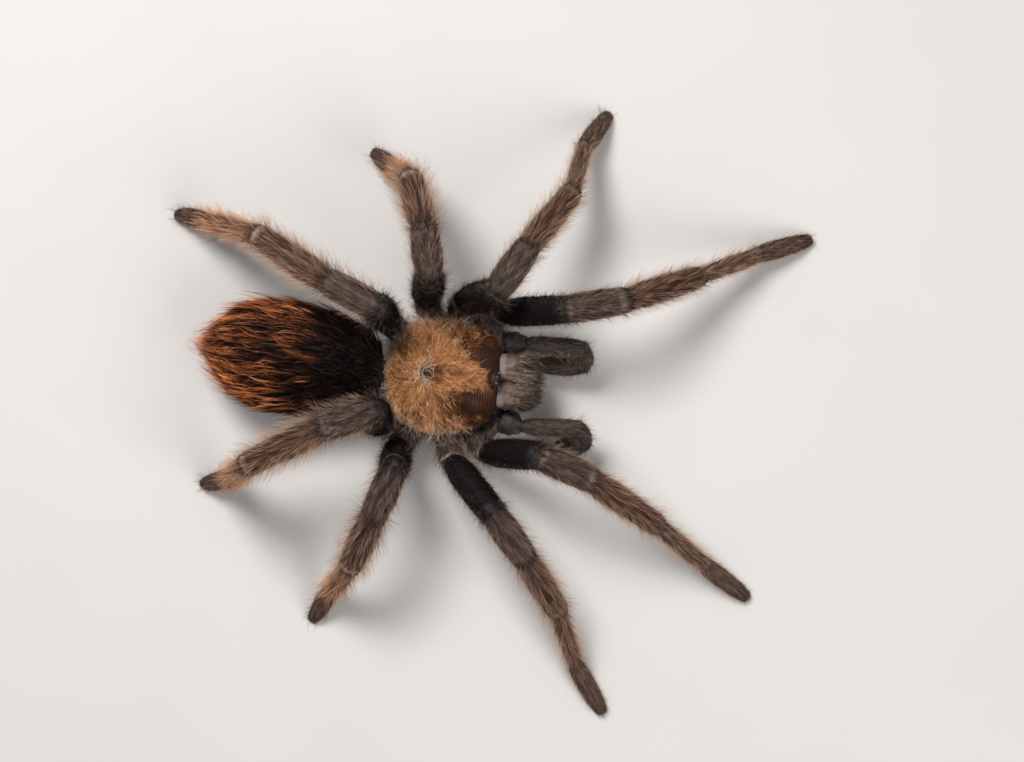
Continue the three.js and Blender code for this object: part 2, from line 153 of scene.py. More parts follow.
def eased(share: Array, knots: Array, values: Array) -> Array:
    """Reads a smooth curve that passes through given values.

    Args:
        share: Where the curve is read.
        knots: Rising places of the given values.
        values: Numbers, or rows of coordinates, at the knots.

    Returns:
        The curve at each share.
    """
    slopes = np.gradient(values, knots, axis=0)
    left = np.clip(np.searchsorted(knots, share) - 1, 0, len(knots) - 2)
    gap = knots[left + 1] - knots[left]
    s = np.clip((share - knots[left]) / gap, 0, 1)
    if values.ndim > 1:
        s, gap = s[:, None], gap[:, None]
    rise = values[left + 1] - values[left]
    start, stop = slopes[left] * gap, slopes[left + 1] * gap
    return values[left] + s * (start + s * (3 * rise - 2 * start - stop + s * (start + stop - 2 * rise)))


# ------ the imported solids
def corners_of(name: str) -> Array:
    """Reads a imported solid's corners.

    Args:
        name: The solid's node name.

    Returns:
        Each corner once, in millimetres.
    """
    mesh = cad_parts[name].data
    points = np.empty(len(mesh.vertices) * 3)
    mesh.vertices.foreach_get("co", points)
    return np.unique(np.round(points.reshape(-1, 3) / MM, 4), axis=0)


def plan_middle(name: str) -> Array:
    """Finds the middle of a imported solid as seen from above.

    Args:
        name: The solid's node name.

    Returns:
        The middle in millimetres, at the height of the floor.
    """
    low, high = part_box(name)
    return np.array([low[0] + high[0], low[1] + high[1], 0.0]) / 2 / MM


def edges_of(name: str) -> Array:
    """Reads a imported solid's edges.

    Args:
        name: The solid's node name.

    Returns:
        Both ends of each edge, in millimetres.
    """
    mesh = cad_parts[name].data
    points = np.array([vertex.co for vertex in mesh.vertices]) / MM
    return points[np.array([edge.vertices[:] for edge in mesh.edges])]


def joint_between(first: str, second: str) -> Array:
    """Finds the middle of the narrow gap between two neighbouring solids.

    Args:
        first: Node name of one solid.
        second: Node name of its neighbour.

    Returns:
        The middle of the joint, in millimetres.
    """
    a, b = corners_of(first), corners_of(second)
    near_a, near_b = np.where(np.linalg.norm(a[:, None] - b[None], axis=2) < 0.45)
    return (a[np.unique(near_a)].mean(axis=0) + b[np.unique(near_b)].mean(axis=0)) / 2


def far_end(name: str, joint: Array) -> Array:
    """Finds the middle of the end of a solid that is farthest from one of its joints.

    Args:
        name: The solid's node name.
        joint: The joint at its other end.

    Returns:
        The middle of the far end's ring of corners.
    """
    points = corners_of(name)
    reach = (points - joint) @ unit(points.mean(axis=0) - joint)
    return points[np.argsort(reach)[-11:]].mean(axis=0)


@dataclass(frozen=True)
class Slice:
    """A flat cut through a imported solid: its middle and its half sizes."""

    centre: Array
    half_width: float
    half_height: float


def slice_at(edges: Array, at: Array, side: Array, up: Array, reach: float = 4.0) -> Slice:
    """Cuts a solid across and measures the cut.

    Args:
        edges: The solid's edges.
        at: A point on the cutting plane.
        side: Level direction in the plane.
        up: The plane's other direction.
        reach: How far from the point an edge still counts.

    Returns:
        The cut's middle and half sizes.
    """
    heights = (edges - at) @ np.cross(side, up)
    crossed = heights[:, 0] * heights[:, 1] < 0
    low, high = edges[crossed, 0], edges[crossed, 1]
    share = heights[crossed, 0] / (heights[crossed, 0] - heights[crossed, 1])
    hits = low + (high - low) * share[:, None] - at
    hits = hits[np.linalg.norm(hits, axis=1) < reach]
    across, above = hits @ side, hits @ up
    middle = at + side * (across.max() + across.min()) / 2 + up * (above.max() + above.min()) / 2
    return Slice(middle, float(np.ptp(across)) / 2, float(np.ptp(above)) / 2)


# ------ hair
@dataclass(frozen=True)
class Hair:
    """One kind of hair: how thickly it grows, how long it is and how it lies."""

    density: float  # hairs on a square millimetre
    length: float  # mm
    width: float  # mm at the root
    lift: float  # degrees off the skin at the root
    root: str
    tip: str
    marked_root: str = ""
    marked_tip: str = ""
    droop: float = 0.4  # share of the lift that is lost towards the tip
    bends: int = 0  # rings between root and tip
    sway: float = 12.0  # degrees of turning to either side
    spread: float = 0.25  # share by which the length varies
    clump: float = 0.0  # share by which tips are drawn into locks
    patchy: float = 0.0  # how unevenly the marking shows from lock to lock
    uneven: float = 0.18  # share by which hairs are lighter or darker than their neighbours
    lock: float = 0.0  # square millimetres that a lock covers
    flank: float = 0.0  # 0 grows all round, 1 only along the two sides
    wave: float = 0.0  # share of the length by which the hair swings sideways
    heading: float = 0.0  # degrees that the lie turns to either side of the surface's own
    gathers: float = 0.0  # share by which it grows thicker towards the far end


@dataclass(frozen=True)
class Pelt:
    """A region's finish: its skin, its kinds of hair, and the marking that both carry."""

    skin: str
    marked_skin: str
    hairs: tuple[Hair, ...]
    marker: Marker
    depth: float = 0.3  # mm from the tips of the lying coat to the skin
    rim: str = "#85746a"  # colour of the bare rings at the joints
    rim_mm: float = 0.12  # half the width of a ring


@dataclass(frozen=True)
class Chart:
    """Where a surface lies on its piece's bake map."""

    left: float = 0.01
    right: float = 0.99
    low: float = 0.01
    high: float = 0.99

    def place(self, share: Array, angle: Array) -> Array:
        """Finds where places on a surface lie on the map.

        Args:
            share: Shares along the surface.
            angle: Angles round it.

        Returns:
            Map places, one a row.
        """
        across = self.left + (self.right - self.left) * np.clip(share, 0, 1)
        above = self.low + (self.high - self.low) * (angle % FULL_TURN) / FULL_TURN
        return np.stack([across, above], axis=1)


class Surface:
    """A smooth closed form, read by a share along it and an angle round it."""

    pelt: Pelt
    hairy: tuple[float, float] = (0.0, 1.0)

    def point(self, share: Array, angle: Array) -> Array:
        """Returns the surface's points in millimetres."""
        raise NotImplementedError

    def bare(self, share: Array, angle: Array, points: Array) -> Array:
        """Returns how bare of hair each place is, from 0 to 1."""
        return np.zeros(len(share))

    def room(self, share: Array, angle: Array) -> Array:
        """Returns how far lying hair may reach along the surface, in millimetres."""
        return np.full(len(share), np.inf)

    def shade(self, share: Array) -> Array:
        """Returns how much of its full lightness the coat has."""
        return np.ones(len(share))

    def lie(self, share: Array, angle: Array) -> tuple[Array, Array, Array, Array]:
        """Finds how the surface lies at given places.

        Args:
            share: Shares along the surface.
            angle: Angles round it.

        Returns:
            Points, outward normals, directions along the surface, and area for each step.
        """
        step = 1e-3
        here = self.point(share, angle)
        ahead = (self.point(share + step, angle) - here) / step
        around = (self.point(share, angle + step) - here) / step
        normal = np.cross(around, ahead)
        area = np.linalg.norm(normal, axis=1)
        return here, unit(normal) * self.outward(), unit(ahead), area

    def outward(self) -> float:
        """Returns the sign that turns the cross product of the directions outwards."""
        return 1.0


def closing(share: Array, caps: tuple[float, float]) -> Array:
    """Narrows a form to a point beyond its two ends.

    Args:
        share: Shares along the form, 0 to 1 between its ends.
        caps: Share of the length that each rounded end adds.

    Returns:
        The share of the full width that is left.
    """
    before = np.clip(-share / caps[0], 0, 1)
    beyond = np.clip((share - 1) / caps[1], 0, 1)
    return np.sqrt(np.maximum(1 - before**2, 0) * np.maximum(1 - beyond**2, 0))


@dataclass
class Loft(Surface):
    """A tapered form of oval cross-sections along a gently curved middle line."""

    name: str
    pelt: Pelt
    knots: Array
    centres: Array
    widths: Array
    heights: Array
    side: Array
    up: Array
    caps: tuple[float, float] = (0.1, 0.1)
    hairy: tuple[float, float] = (0.0, 1.0)
    rims: tuple[float, float] = (0.0, 0.0)  # mm from each end to a narrow bare ring
    band: float = 0.0  # share at its start that is bald
    sides: int = 28
    rings: int = 20
    flat_below: float = 0.12  # lowest height of the skin in mm
    squareness: float = 2.0  # exponent of the cross-section, 2 is an oval
    tip_room: float = 0.0  # mm that lying hair reaches past the form's end, 0 for as far as it grows
    fold: float = 0.0  # share of the lightness lost where the form starts: painted shade in the joint's crease

    def outward(self) -> float:
        """Returns 1 where the side, up and along directions are a right-handed set."""
        along = self.centres[-1] - self.centres[0]
        return float(np.sign(np.dot(np.cross(self.side, self.up), along)))

    def middle(self, share: Array) -> Array:
        """Reads the middle line, carried on straight past its ends.

        Args:
            share: Shares along the form.

        Returns:
            Points in millimetres.
        """
        slopes = np.gradient(self.centres, self.knots, axis=0)
        inside = eased(np.clip(share, 0, 1), self.knots, self.centres)
        before, beyond = np.minimum(share, 0), np.maximum(share - 1, 0)
        return inside + before[:, None] * slopes[0] + beyond[:, None] * slopes[-1]

    def point(self, share: Array, angle: Array) -> Array:
        """Reads the form's surface.

        Args:
            share: Shares along the form.
            angle: Angles round it.

        Returns:
            Points in millimetres, none below the floor.
        """
        width = closing(share, self.caps) * self.rim_swell(share)
        power = self.squareness
        width = width * (np.abs(np.cos(angle)) ** power + np.abs(np.sin(angle)) ** power) ** (-1 / power)
        inside = np.clip(share, 0, 1)
        across = width * eased(inside, self.knots, self.widths) * np.cos(angle)
        above = width * eased(inside, self.knots, self.heights) * np.sin(angle)
        points = self.middle(share) + across[:, None] * self.side + above[:, None] * self.up
        points[:, 2] = np.maximum(points[:, 2], self.flat_below)
        return points

    def rim_swell(self, share: Array) -> Array:
        """Finds how far the collar at a joint stands out.

        Args:
            share: Shares along the form.

        Returns:
            Factor on the form's width.
        """
        if not self.rims[1]:
            return np.ones(len(share))
        ring = 1 - self.rims[1] / self.length()
        return 1 + 0.05 * bump(share, ring, 0.5 / self.length())

    def bare(self, share: Array, angle: Array, points: Array) -> Array:
        """Finds how bare each place is: narrow rings at the joints and a jaw's band are.

        Args:
            share: Shares along the form.
            angle: Angles round it.
            points: The places in millimetres.

        Returns:
            0 where hair grows to 1 where none does.
        """
        bald = 1 - ramp(share, 0.9 * self.band, self.band) if self.band else np.zeros(len(share))
        length = self.length()
        for place, rim in ((self.rims[0] / length, self.rims[0]), (1 - self.rims[1] / length, self.rims[1])):
            if rim:
                bald = np.maximum(bald, bump(share, place, self.pelt.rim_mm / length))
        return bald

    def room(self, share: Array, angle: Array) -> Array:
        """Finds how far lying hair may reach: up to the bare ring or the rounded tip.

        Args:
            share: Shares along the form.
            angle: Angles round it.

        Returns:
            Lengths in millimetres.
        """
        gap = (1 - share) * self.length()
        if self.tip_room:
            return np.maximum(gap + self.tip_room, 0.3)
        if not self.rims[1]:
            return super().room(share, angle)
        gap = gap - self.rims[1]
        return np.where(gap > -0.1, np.maximum(gap, 0.2), 0.45)

    def shade(self, share: Array) -> Array:
        """Returns how light the coat is: painted shade in the crease where a stretch starts, and a foot's darker pad.
        """
        pad = 0.3 * ramp(share, 0.6, 0.95) if self.tip_room else 0.0
        # the fold term is painted shade in the crease at the stretch's start
        return 1 - self.fold * (1 - ramp(share * self.length(), 0.0, 0.8)) - pad

    def length(self) -> float:
        """Returns the straight length between the form's ends."""
        return float(np.linalg.norm(self.centres[-1] - self.centres[0]))

    def nearness(self, points: Array) -> tuple[Array, Array, Array]:
        """Reads where points lie on the form.

        Args:
            points: Places in millimetres.

        Returns:
            Distance from the form's side in millimetres, share along it, and angle round it.
        """
        axis = self.centres[-1] - self.centres[0]
        share = (points - self.centres[0]) @ axis / (axis @ axis)
        offset = points - self.middle(share)
        inside = np.clip(share, 0, 1)
        across = offset @ self.side / eased(inside, self.knots, self.widths)
        above = offset @ self.up / eased(inside, self.knots, self.heights)
        size = float(np.mean(self.widths))
        beyond = np.maximum(np.maximum(-share, share - 1), 0) * np.linalg.norm(axis)
        return np.abs(np.hypot(across, above) - 1) * size + beyond, share, np.arctan2(above, across)

    def build(self) -> Piece:
        """Makes the form.

        Returns:
            A closed mesh in millimetres.
        """
        low, high = self.caps

        def place(around: Array, along: Array) -> Array:
            """Finds the form's points.

            Args:
                around: Shares round it.
                along: Shares from pole to pole.

            Returns:
                Points in millimetres.
            """
            cap = 0.14
            start = -low * np.cos(np.clip(along / cap, 0, 1) * DORSAL)
            stop = high * np.cos(np.clip((1 - along) / cap, 0, 1) * DORSAL)
            share = np.clip((along - cap) / (1 - 2 * cap), 0, 1) + start + stop
            return self.point(share, around * FULL_TURN)

        return wrapped(self.name, self.sides, self.rings, place)


def wrapped(name: str, around: int, along: int, place: Callable[[Array, Array], Array]) -> Piece:
    """Wraps a grid into a closed form, seam welded and poles closed.

    Args:
        name: Name of the new object.
        around: Faces round the form.
        along: Faces from pole to pole.
        place: Gives points for shares round and shares along the form.

    Returns:
        An object whose mesh is in millimetres.
    """
    bm = bmesh.new()
    bmesh.ops.create_grid(bm, x_segments=around, y_segments=along, size=0.5)
    flat = np.array([vertex.co for vertex in bm.verts]) + 0.5
    for vertex, co in zip(bm.verts, place(flat[:, 0], flat[:, 1])):
        vertex.co = co
    bmesh.ops.remove_doubles(bm, verts=bm.verts, dist=2e-3)
    bmesh.ops.recalc_face_normals(bm, faces=bm.faces)
    return object_from(name, bm)


def linked(name: str, data: bpy.types.ID) -> Piece:
    """Adds an object to the scene.

    Args:
        name: The object's name.
        data: Its mesh, lamp or camera.

    Returns:
        The new object.
    """
    made = bpy.data.objects.new(name, data)
    bpy.context.scene.collection.objects.link(made)
    return made


def object_from(name: str, bm: bmesh.types.BMesh) -> Piece:
    """Turns a bmesh into an object of the scene and frees it.

    Args:
        name: Name of the object and its mesh.
        bm: The shape.

    Returns:
        The new object.
    """
    mesh = bpy.data.meshes.new(name)
    bm.to_mesh(mesh)
    bm.free()
    return linked(name, mesh)


def to_metres(piece: Piece) -> Piece:
    """Turns a mesh in millimetres to metres and shades it smooth.

    Args:
        piece: The piece, whose mesh is changed.

    Returns:
        The same piece.
    """
    bm = bmesh.new()
    bm.from_mesh(piece.data)
    bmesh.ops.scale(bm, vec=(MM, MM, MM), verts=bm.verts)
    for face in bm.faces:
        face.smooth = True
    bm.to_mesh(piece.data)
    bm.free()
    return piece


def joined(name: str, parts: list[Piece]) -> Piece:
    """Joins several meshes into one object.

    Args:
        name: Name of the joined piece.
        parts: Objects in millimetres, which are used up.

    Returns:
        The joined piece.
    """
    bm = bmesh.new()
    for part in parts:
        bm.from_mesh(part.data)
        bpy.data.objects.remove(part)
    return object_from(name, bm)


def fused(name: str, parts: list[Piece]) -> Piece:
    """Fuses closed forms that pass into each other into one skin.

    Args:
        name: Name of the skin.
        parts: Objects in millimetres, which are used up.

    Returns:
        The skin, still in millimetres.
    """
    group = bpy.data.collections.new(name)
    for part in parts[1:]:
        group.objects.link(part)
    union = parts[0].modifiers.new("fuse", "BOOLEAN")
    union.operation = "UNION"
    union.operand_type = "COLLECTION"
    union.solver = "MANIFOLD"
    union.collection = group
    bpy.context.view_layer.update()
    evaluated = parts[0].evaluated_get(bpy.context.evaluated_depsgraph_get())
    bm = bmesh.new()
    bm.from_mesh(evaluated.to_mesh())
    for part in parts:
        bpy.data.objects.remove(part)
    bpy.data.collections.remove(group)
    bmesh.ops.dissolve_degenerate(bm, edges=bm.edges, dist=2e-3)
    return object_from(name, bm)


def paint(piece: Piece, colours: Array) -> None:
    """Stores one linear colour for each of a mesh's points.

    Args:
        piece: The piece to paint.
        colours: Red, green and blue rows.
    """
    layer = piece.data.attributes.new(COLOUR_LAYER, "FLOAT_COLOR", "POINT")
    rgba = np.concatenate([colours, np.ones((len(colours), 1))], axis=1)
    layer.data.foreach_set("color", rgba.astype(np.float32).ravel())


def points_of(piece: Piece) -> Array:
    """Reads a mesh's points.

    Args:
        piece: The piece.

    Returns:
        One point a row.
    """
    points = np.empty(len(piece.data.vertices) * 3)
    piece.data.vertices.foreach_get("co", points)
    return points.reshape(-1, 3)


class Coat:
    """Grows hairs on surfaces and joins them into one piece."""

    def __init__(self, name: str, seed: int) -> None:
        """Starts an empty coat.

        Args:
            name: The piece's name.
            seed: Picks the hairs' places and turns.
        """
        self.name = name
        self.rng = np.random.default_rng(seed)
        self.points: list[Array] = []
        self.colours: list[Array] = []
        self.places: list[Array] = []
        self.faces: list[Array] = []
        self.size = 0

    def grow(self, surface: Surface, chart: Chart, longer: float = 1.0) -> None:
        """Grows every kind of hair of a surface's pelt.

        Args:
            surface: What the hair grows on.
            chart: The surface's place on the bake map.
            longer: Factor on the length of the hairs that stand out.
        """
        for hair in surface.pelt.hairs:
            self.grow_kind(surface, hair, chart, longer)

    def scatter(self, surface: Surface, hair: Hair) -> tuple[Array, Array]:
        """Picks places for one kind of hair, even over the surface's area.

        Args:
            surface: What the hair grows on.
            hair: The kind of hair.

        Returns:
            Shares along the surface and angles round it.
        """
        low, high = surface.hairy
        share = self.rng.uniform(low, high, 3000)
        angle = self.rng.uniform(0, FULL_TURN, 3000)
        area = surface.lie(share, angle)[3]
        most = float(np.percentile(area, 99.5))
        wanted = hair.density * most * (high - low) * FULL_TURN
        share = self.rng.uniform(low, high, int(wanted))
        angle = self.rng.uniform(0, FULL_TURN, int(wanted))
        points, _, _, area = surface.lie(share, angle)
        place = (1 - hair.flank * np.sin(angle) ** 2) * (1 - hair.gathers * (1 - np.clip(share, 0, 1)))
        chance = area / most * (1 - surface.bare(share, angle, points)) * place
        keep = self.rng.random(len(share)) < chance
        return share[keep], angle[keep]

    def grow_kind(self, surface: Surface, hair: Hair, chart: Chart, longer: float) -> None:
        """Grows one kind of hair.

        Args:
            surface: What the hair grows on.
            hair: The kind of hair.
            chart: The surface's place on the bake map.
            longer: Factor on the length of hairs that stand out.
        """
        share, angle = self.scatter(surface, hair)
        if not len(share):
            return
        root, normal, along, _ = surface.lie(share, angle)
        count = len(root)
        leader = self.leaders(root, hair)
        side = np.cross(normal, along)
        turn = self.rng.normal(0, hair.sway, count) + hair.heading * self.rng.choice([-1, 1], count)[leader]
        turn = np.radians(turn)[:, None]
        flat = along * np.cos(turn) + side * np.sin(turn)
        lift = np.radians(hair.lift * self.rng.uniform(0.6, 1.4, count))[:, None]
        start = flat * np.cos(lift) + normal * np.sin(lift)
        lower = lift * (1 - hair.droop)
        finish = flat * np.cos(lower) + normal * np.sin(lower)
        spread = np.clip(self.rng.normal(1, hair.spread, count), 0.35, 1.8)
        length = hair.length * spread * (longer if hair.lift > 25 else 1.0)
        if hair.lift < 40:
            length = np.minimum(length, surface.room(share, angle) + 0.25)
        length = length[:, None]
        phase = self.rng.uniform(0, FULL_TURN, count)
        swing = side * hair.wave * np.sin(phase[leader] + 0.4 * np.sin(phase))[:, None]
        pull = self.into_locks(root, start * length, leader) * hair.clump

        levels = hair.bends + 1
        rings = []
        for level in range(levels + 1):
            s = level / levels
            path = start * s + (finish - start) * s * s / 2 + swing * math.sin(math.pi * s) * 0.5
            centre = root - normal * 0.05 + path * length + pull * s**1.5
            rings.append(centre)
        self.add_tubes(rings, normal, hair.width * self.rng.uniform(0.75, 1.25, count))
        marked = surface.pelt.marker(share, angle, root)
        shift = self.rng.normal(0, hair.patchy, count)[leader]
        marked = 0.65 * marked[leader] + 0.35 * marked
        marked = np.clip(marked + shift * ramp(marked, 0.03, 0.4), 0, 1)
        if hair.patchy > 0.3:
            marked = marked * ramp(marked, 0.1, 0.6)
        light = np.exp(self.rng.normal(0, hair.uneven, count) + self.rng.normal(0, hair.uneven, count)[leader])
        # painted shade where a limb stretch starts, and a foot's darker pad
        light = light * surface.shade(share)
        self.add_colours(hair, marked, light, levels)
        self.add_places(chart.place(share, angle), levels)

    def leaders(self, root: Array, hair: Hair) -> Array:
        """Finds the hair that leads each hair's lock.

        Args:
            root: The hairs' roots.
            hair: The kind of hair.

        Returns:
            The leader's number for each hair, its own where no locks form.
        """
        if not hair.lock:
            return np.arange(len(root))
        count = max(2, int(len(root) / max(hair.density * hair.lock, 1)))
        chosen = self.rng.choice(len(root), min(count, len(root)), replace=False)
        nearest = np.empty(len(root), dtype=int)
        for begin in range(0, len(root), 2000):
            block = slice(begin, begin + 2000)
            gap = np.linalg.norm(root[block, None] - root[None, chosen], axis=2)
            nearest[block] = chosen[np.argmin(gap, axis=1)]
        return nearest

    def into_locks(self, root: Array, reach: Array, leader: Array) -> Array:
        """Finds how far each tip is drawn towards the tip of its lock.

        Args:
            root: The hairs' roots.
            reach: From root to tip.
            leader: The hair that leads each hair's lock.

        Returns:
            One shift for each tip, no more than half the hair's length.
        """
        shift = root[leader] + reach[leader] - (root + reach)
        limit = 0.5 * np.linalg.norm(reach, axis=1, keepdims=True)
        size = np.maximum(np.linalg.norm(shift, axis=1, keepdims=True), 1e-9)
        return shift * np.minimum(1, limit / size)

    def add_tubes(self, centres: list[Array], normal: Array, width: Array) -> None:
        """Adds closed three-sided tubes that taper to a point.

        Args:
            centres: Points of all the hairs at each level, root first and tip last.
            normal: The skin's direction outwards at each root.
            width: Each hair's width at its root.
        """
        count, levels = len(normal), len(centres) - 1
        rows = []
        for level in range(levels):
            tangent = unit(centres[level + 1] - centres[level])
            across = unit(np.cross(normal, tangent))
            above = np.cross(tangent, across)
            radius = (width / 2 * (1 - level / levels) ** 0.5)[:, None]
            for corner in range(3):
                angle = DORSAL + FULL_TURN * corner / 3
                spoke = across * math.cos(angle) + above * math.sin(angle)
                rows.append(centres[level] + spoke * radius)
        rows.append(centres[-1])
        points = np.stack(rows, axis=1)
        low = points[:, :, 2]
        points[:, :, 2] = np.maximum(low, FLOOR_CLEARANCE + 0.03 * np.clip(low + 1, 0, 1))
        pattern = tube_faces(levels)
        stride = 3 * levels + 1
        offset = self.size + stride * np.arange(count)[:, None, None]
        self.faces.append((pattern[None] + offset).reshape(-1, 3))
        self.points.append(points.reshape(-1, 3))
        self.size += count * stride

    def add_colours(self, hair: Hair, marked: Array, light: Array, levels: int) -> None:
        """Colours hairs from root to tip.

        Args:
            hair: The kind of hair.
            marked: How strongly the marking shows at each root.
            light: How much lighter or darker each hair is than the colour asked for.
            levels: Rings of each tube.
        """
        plain = [np.array(linear(hair.root)), np.array(linear(hair.tip))]
        other = [np.array(linear(hair.marked_root or hair.root)), np.array(linear(hair.marked_tip or hair.tip))]
        ends = [blend(np.tile(a, (len(marked), 1)), b, marked) * light[:, None] for a, b in zip(plain, other)]
        rows = []
        for level in range(levels + 1):
            mixed = ends[0] + (ends[1] - ends[0]) * (level / levels)
            rows += [mixed] * (3 if level < levels else 1)
        self.colours.append(np.clip(np.stack(rows, axis=1), 0, 1).reshape(-1, 3))

    def add_places(self, place: Array, levels: int) -> None:
        """Gives each hair its own small patch on the bake map.

        Args:
            place: Map place of each root.
            levels: Rings of each tube.
        """
        rows = []
        for level in range(levels):
            size = TUFT_PATCH * (1 - level / (levels + 0.5))
            for corner in range(3):
                angle = DORSAL + FULL_TURN * corner / 3
                rows.append(place + size * np.array([math.cos(angle), math.sin(angle)]))
        rows.append(place)
        self.places.append(np.stack(rows, axis=1).reshape(-1, 2))

    def finish(self, material: Material, slot: str) -> None:
        """Joins the hairs into one mesh.

        Args:
            material: The hair's material.
            slot: A material slot's name; not used.
        """
        points = np.concatenate(self.points) * MM
        faces = np.concatenate(self.faces)
        mesh = bpy.data.meshes.new(self.name)
        mesh.vertices.add(len(points))
        mesh.vertices.foreach_set("co", points.astype(np.float32).ravel())
        mesh.loops.add(faces.size)
        mesh.loops.foreach_set("vertex_index", faces.astype(np.int32).ravel())
        mesh.polygons.add(len(faces))
        mesh.polygons.foreach_set("loop_start", np.arange(0, faces.size, 3, dtype=np.int32))
        mesh.polygons.foreach_set("use_smooth", np.ones(len(faces), dtype=bool))
        places = np.concatenate(self.places)[faces.ravel()]
        mesh.uv_layers.new(name=BAKE_MAP).data.foreach_set("uv", places.astype(np.float32).ravel())
        mesh.update()
        piece = linked(self.name, mesh)
        paint(piece, np.concatenate(self.colours))
        dressed(piece, material)


def tube_faces(levels: int) -> Array:
    """Lists the triangles of a closed three-sided tube with a pointed tip.

    Args:
        levels: Rings of the tube.

    Returns:
        Corner numbers, one triangle a row.
    """
    faces = [(0, 2, 1)]
    for level in range(levels - 1):
        for corner in range(3):
            a, b = 3 * level + corner, 3 * level + (corner + 1) % 3
            faces += [(a, b, b + 3), (a, b + 3, a + 3)]
    last = 3 * (levels - 1)
    faces += [(last + corner, last + (corner + 1) % 3, last + 3) for corner in range(3)]
    return np.array(faces)


def dressed(piece: Piece, material: Material, nodes: tuple[str, ...] = ()) -> None:
    """Gives a piece its material, its body and the solids it stands for.

    Args:
        piece: The finished piece.
        material: Its material.
        nodes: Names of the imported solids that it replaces.
    """
    piece.data.materials.clear()
    piece.data.materials.append(material)
    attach(piece, "root")
    if nodes:
        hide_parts(*nodes)
    piece.data.calc_loop_triangles()
    log.info("%s: %d triangles", piece.name, len(piece.data.loop_triangles))


# ------ markings
def plain(share: Array, angle: Array, points: Array) -> Array:
    """Returns no marking at all."""
    return np.zeros(len(share))


def lengthwise(share: Array, angle: Array, points: Array) -> Array:
    """Draws streaks that run along a limb, wandering a little from side to side.

    Args:
        share: Shares along the form.
        angle: Angles round it.
        points: The places in millimetres.

    Returns:
        The marking's strength, 0 to 1.
    """
    wander = angle + 0.22 * np.sin(2.3 * share + 0.9 * points[:, 0] + 0.7 * points[:, 1])
    streaks = np.sin(7 * wander) + 0.9 * np.sin(13 * wander + 2) + 0.7 * np.sin(23 * wander + 2 * share)
    return np.clip(0.4 + 0.42 * streaks + 0.4 * (mottle(points, 1.6, 11) - 0.5), 0, 1)


def jaw_streaks(share: Array, angle: Array, points: Array) -> Array:
    """Draws pale streaks along a jaw that fade towards its front and its outer side.

    Args:
        share: Shares along the form.
        angle: Angles round it.
        points: The places in millimetres.

    Returns:
        The marking's strength, 0 to 1.
    """
    front = 1 - ramp(share, 0.3, 0.78)
    inner = 1 - ramp(np.abs(points[:, 1] - MIDLINE), 1.3, 3.8)
    return np.clip(1.2 * lengthwise(share, angle, points) * (0.3 + 0.7 * front) * (0.6 + 0.5 * inner), 0, 1)


def rusty(share: Array, angle: Array, points: Array) -> Array:
    """Draws the abdomen's rust: none in front, most at the rear and left, less along the top.

    Args:
        share: Shares along the form.
        angle: Angles round it.
        points: The places in millimetres.

    Returns:
        The marking's strength, 0 to 1.
    """
    rear = ramp(share, 0.12, 0.7)
    top = bump(turned(angle, DORSAL), 0, 0.5) * ramp(share, 0.25, 0.6)
    wisps = mottle(points * np.array([0.35, 1.0, 1.0]), 1.0, 5)
    left = ramp(points[:, 1] - MIDLINE, -7, 0)
    flanks = rear * (1 - 0.6 * top) * (0.2 + 0.95 * wisps) * (0.7 + 0.3 * left)
    return np.clip(flanks + 0.35 * ramp(share, 0.62, 0.92), 0, 1)


def blotched_and_shaded(share: Array, angle: Array, points: Array) -> Array:
    """Draws the shell's darker blotches and its dark front corners; the blotches drawn out from the middle are partly
    painted shade between the radial tufts. It darkens towards the edge except at the rear, and is lighter at the
    rear.

    Args:
        share: Shares along the form.
        angle: Angles round it.
        points: The places in millimetres.

    Returns:
        The marking's strength, 0 to 1.
    """
    rays = 0.5 + 0.5 * np.sin(9 * angle + 2.5 * np.sin(3 * angle + 1) + 2 * share)
    rear = bump(turned(angle, math.pi), 0, 1.1)
    dark = 0.55 * rays * ramp(share, 0.3, 0.75) * (1 - 0.6 * rear) + 1.1 * (mottle(points, 1.9, 23) - 0.44)
    # bands drawn out from the middle: painted shade between the radial tufts
    fan = np.stack([3 * np.cos(angle), 3 * np.sin(angle), 1.5 * share], axis=1)
    dark = dark + 0.7 * (mottle(points, 4.5, 29) - 0.5) + 1.2 * (mottle(fan, 0.42, 31) - 0.5)
    left = 1.3 * ramp(share, 0.42, 0.62) * bump(turned(angle, 0.5), 0, 0.26)
    right = 0.7 * ramp(share, 0.7, 0.95) * bump(turned(angle, -0.8), 0, 0.3)
    right = right + 0.8 * ramp(share, 0.34, 0.52) * bump(turned(angle, -0.42), 0, 0.24)
    # darker towards the edge, except at the rear
    edge = 0.35 * ramp(share, 0.8, 0.95) * (1 - rear)
    return np.clip(1.5 * dark * (1 - 0.85 * rear) + edge + left + right - 0.2, 0, 1)


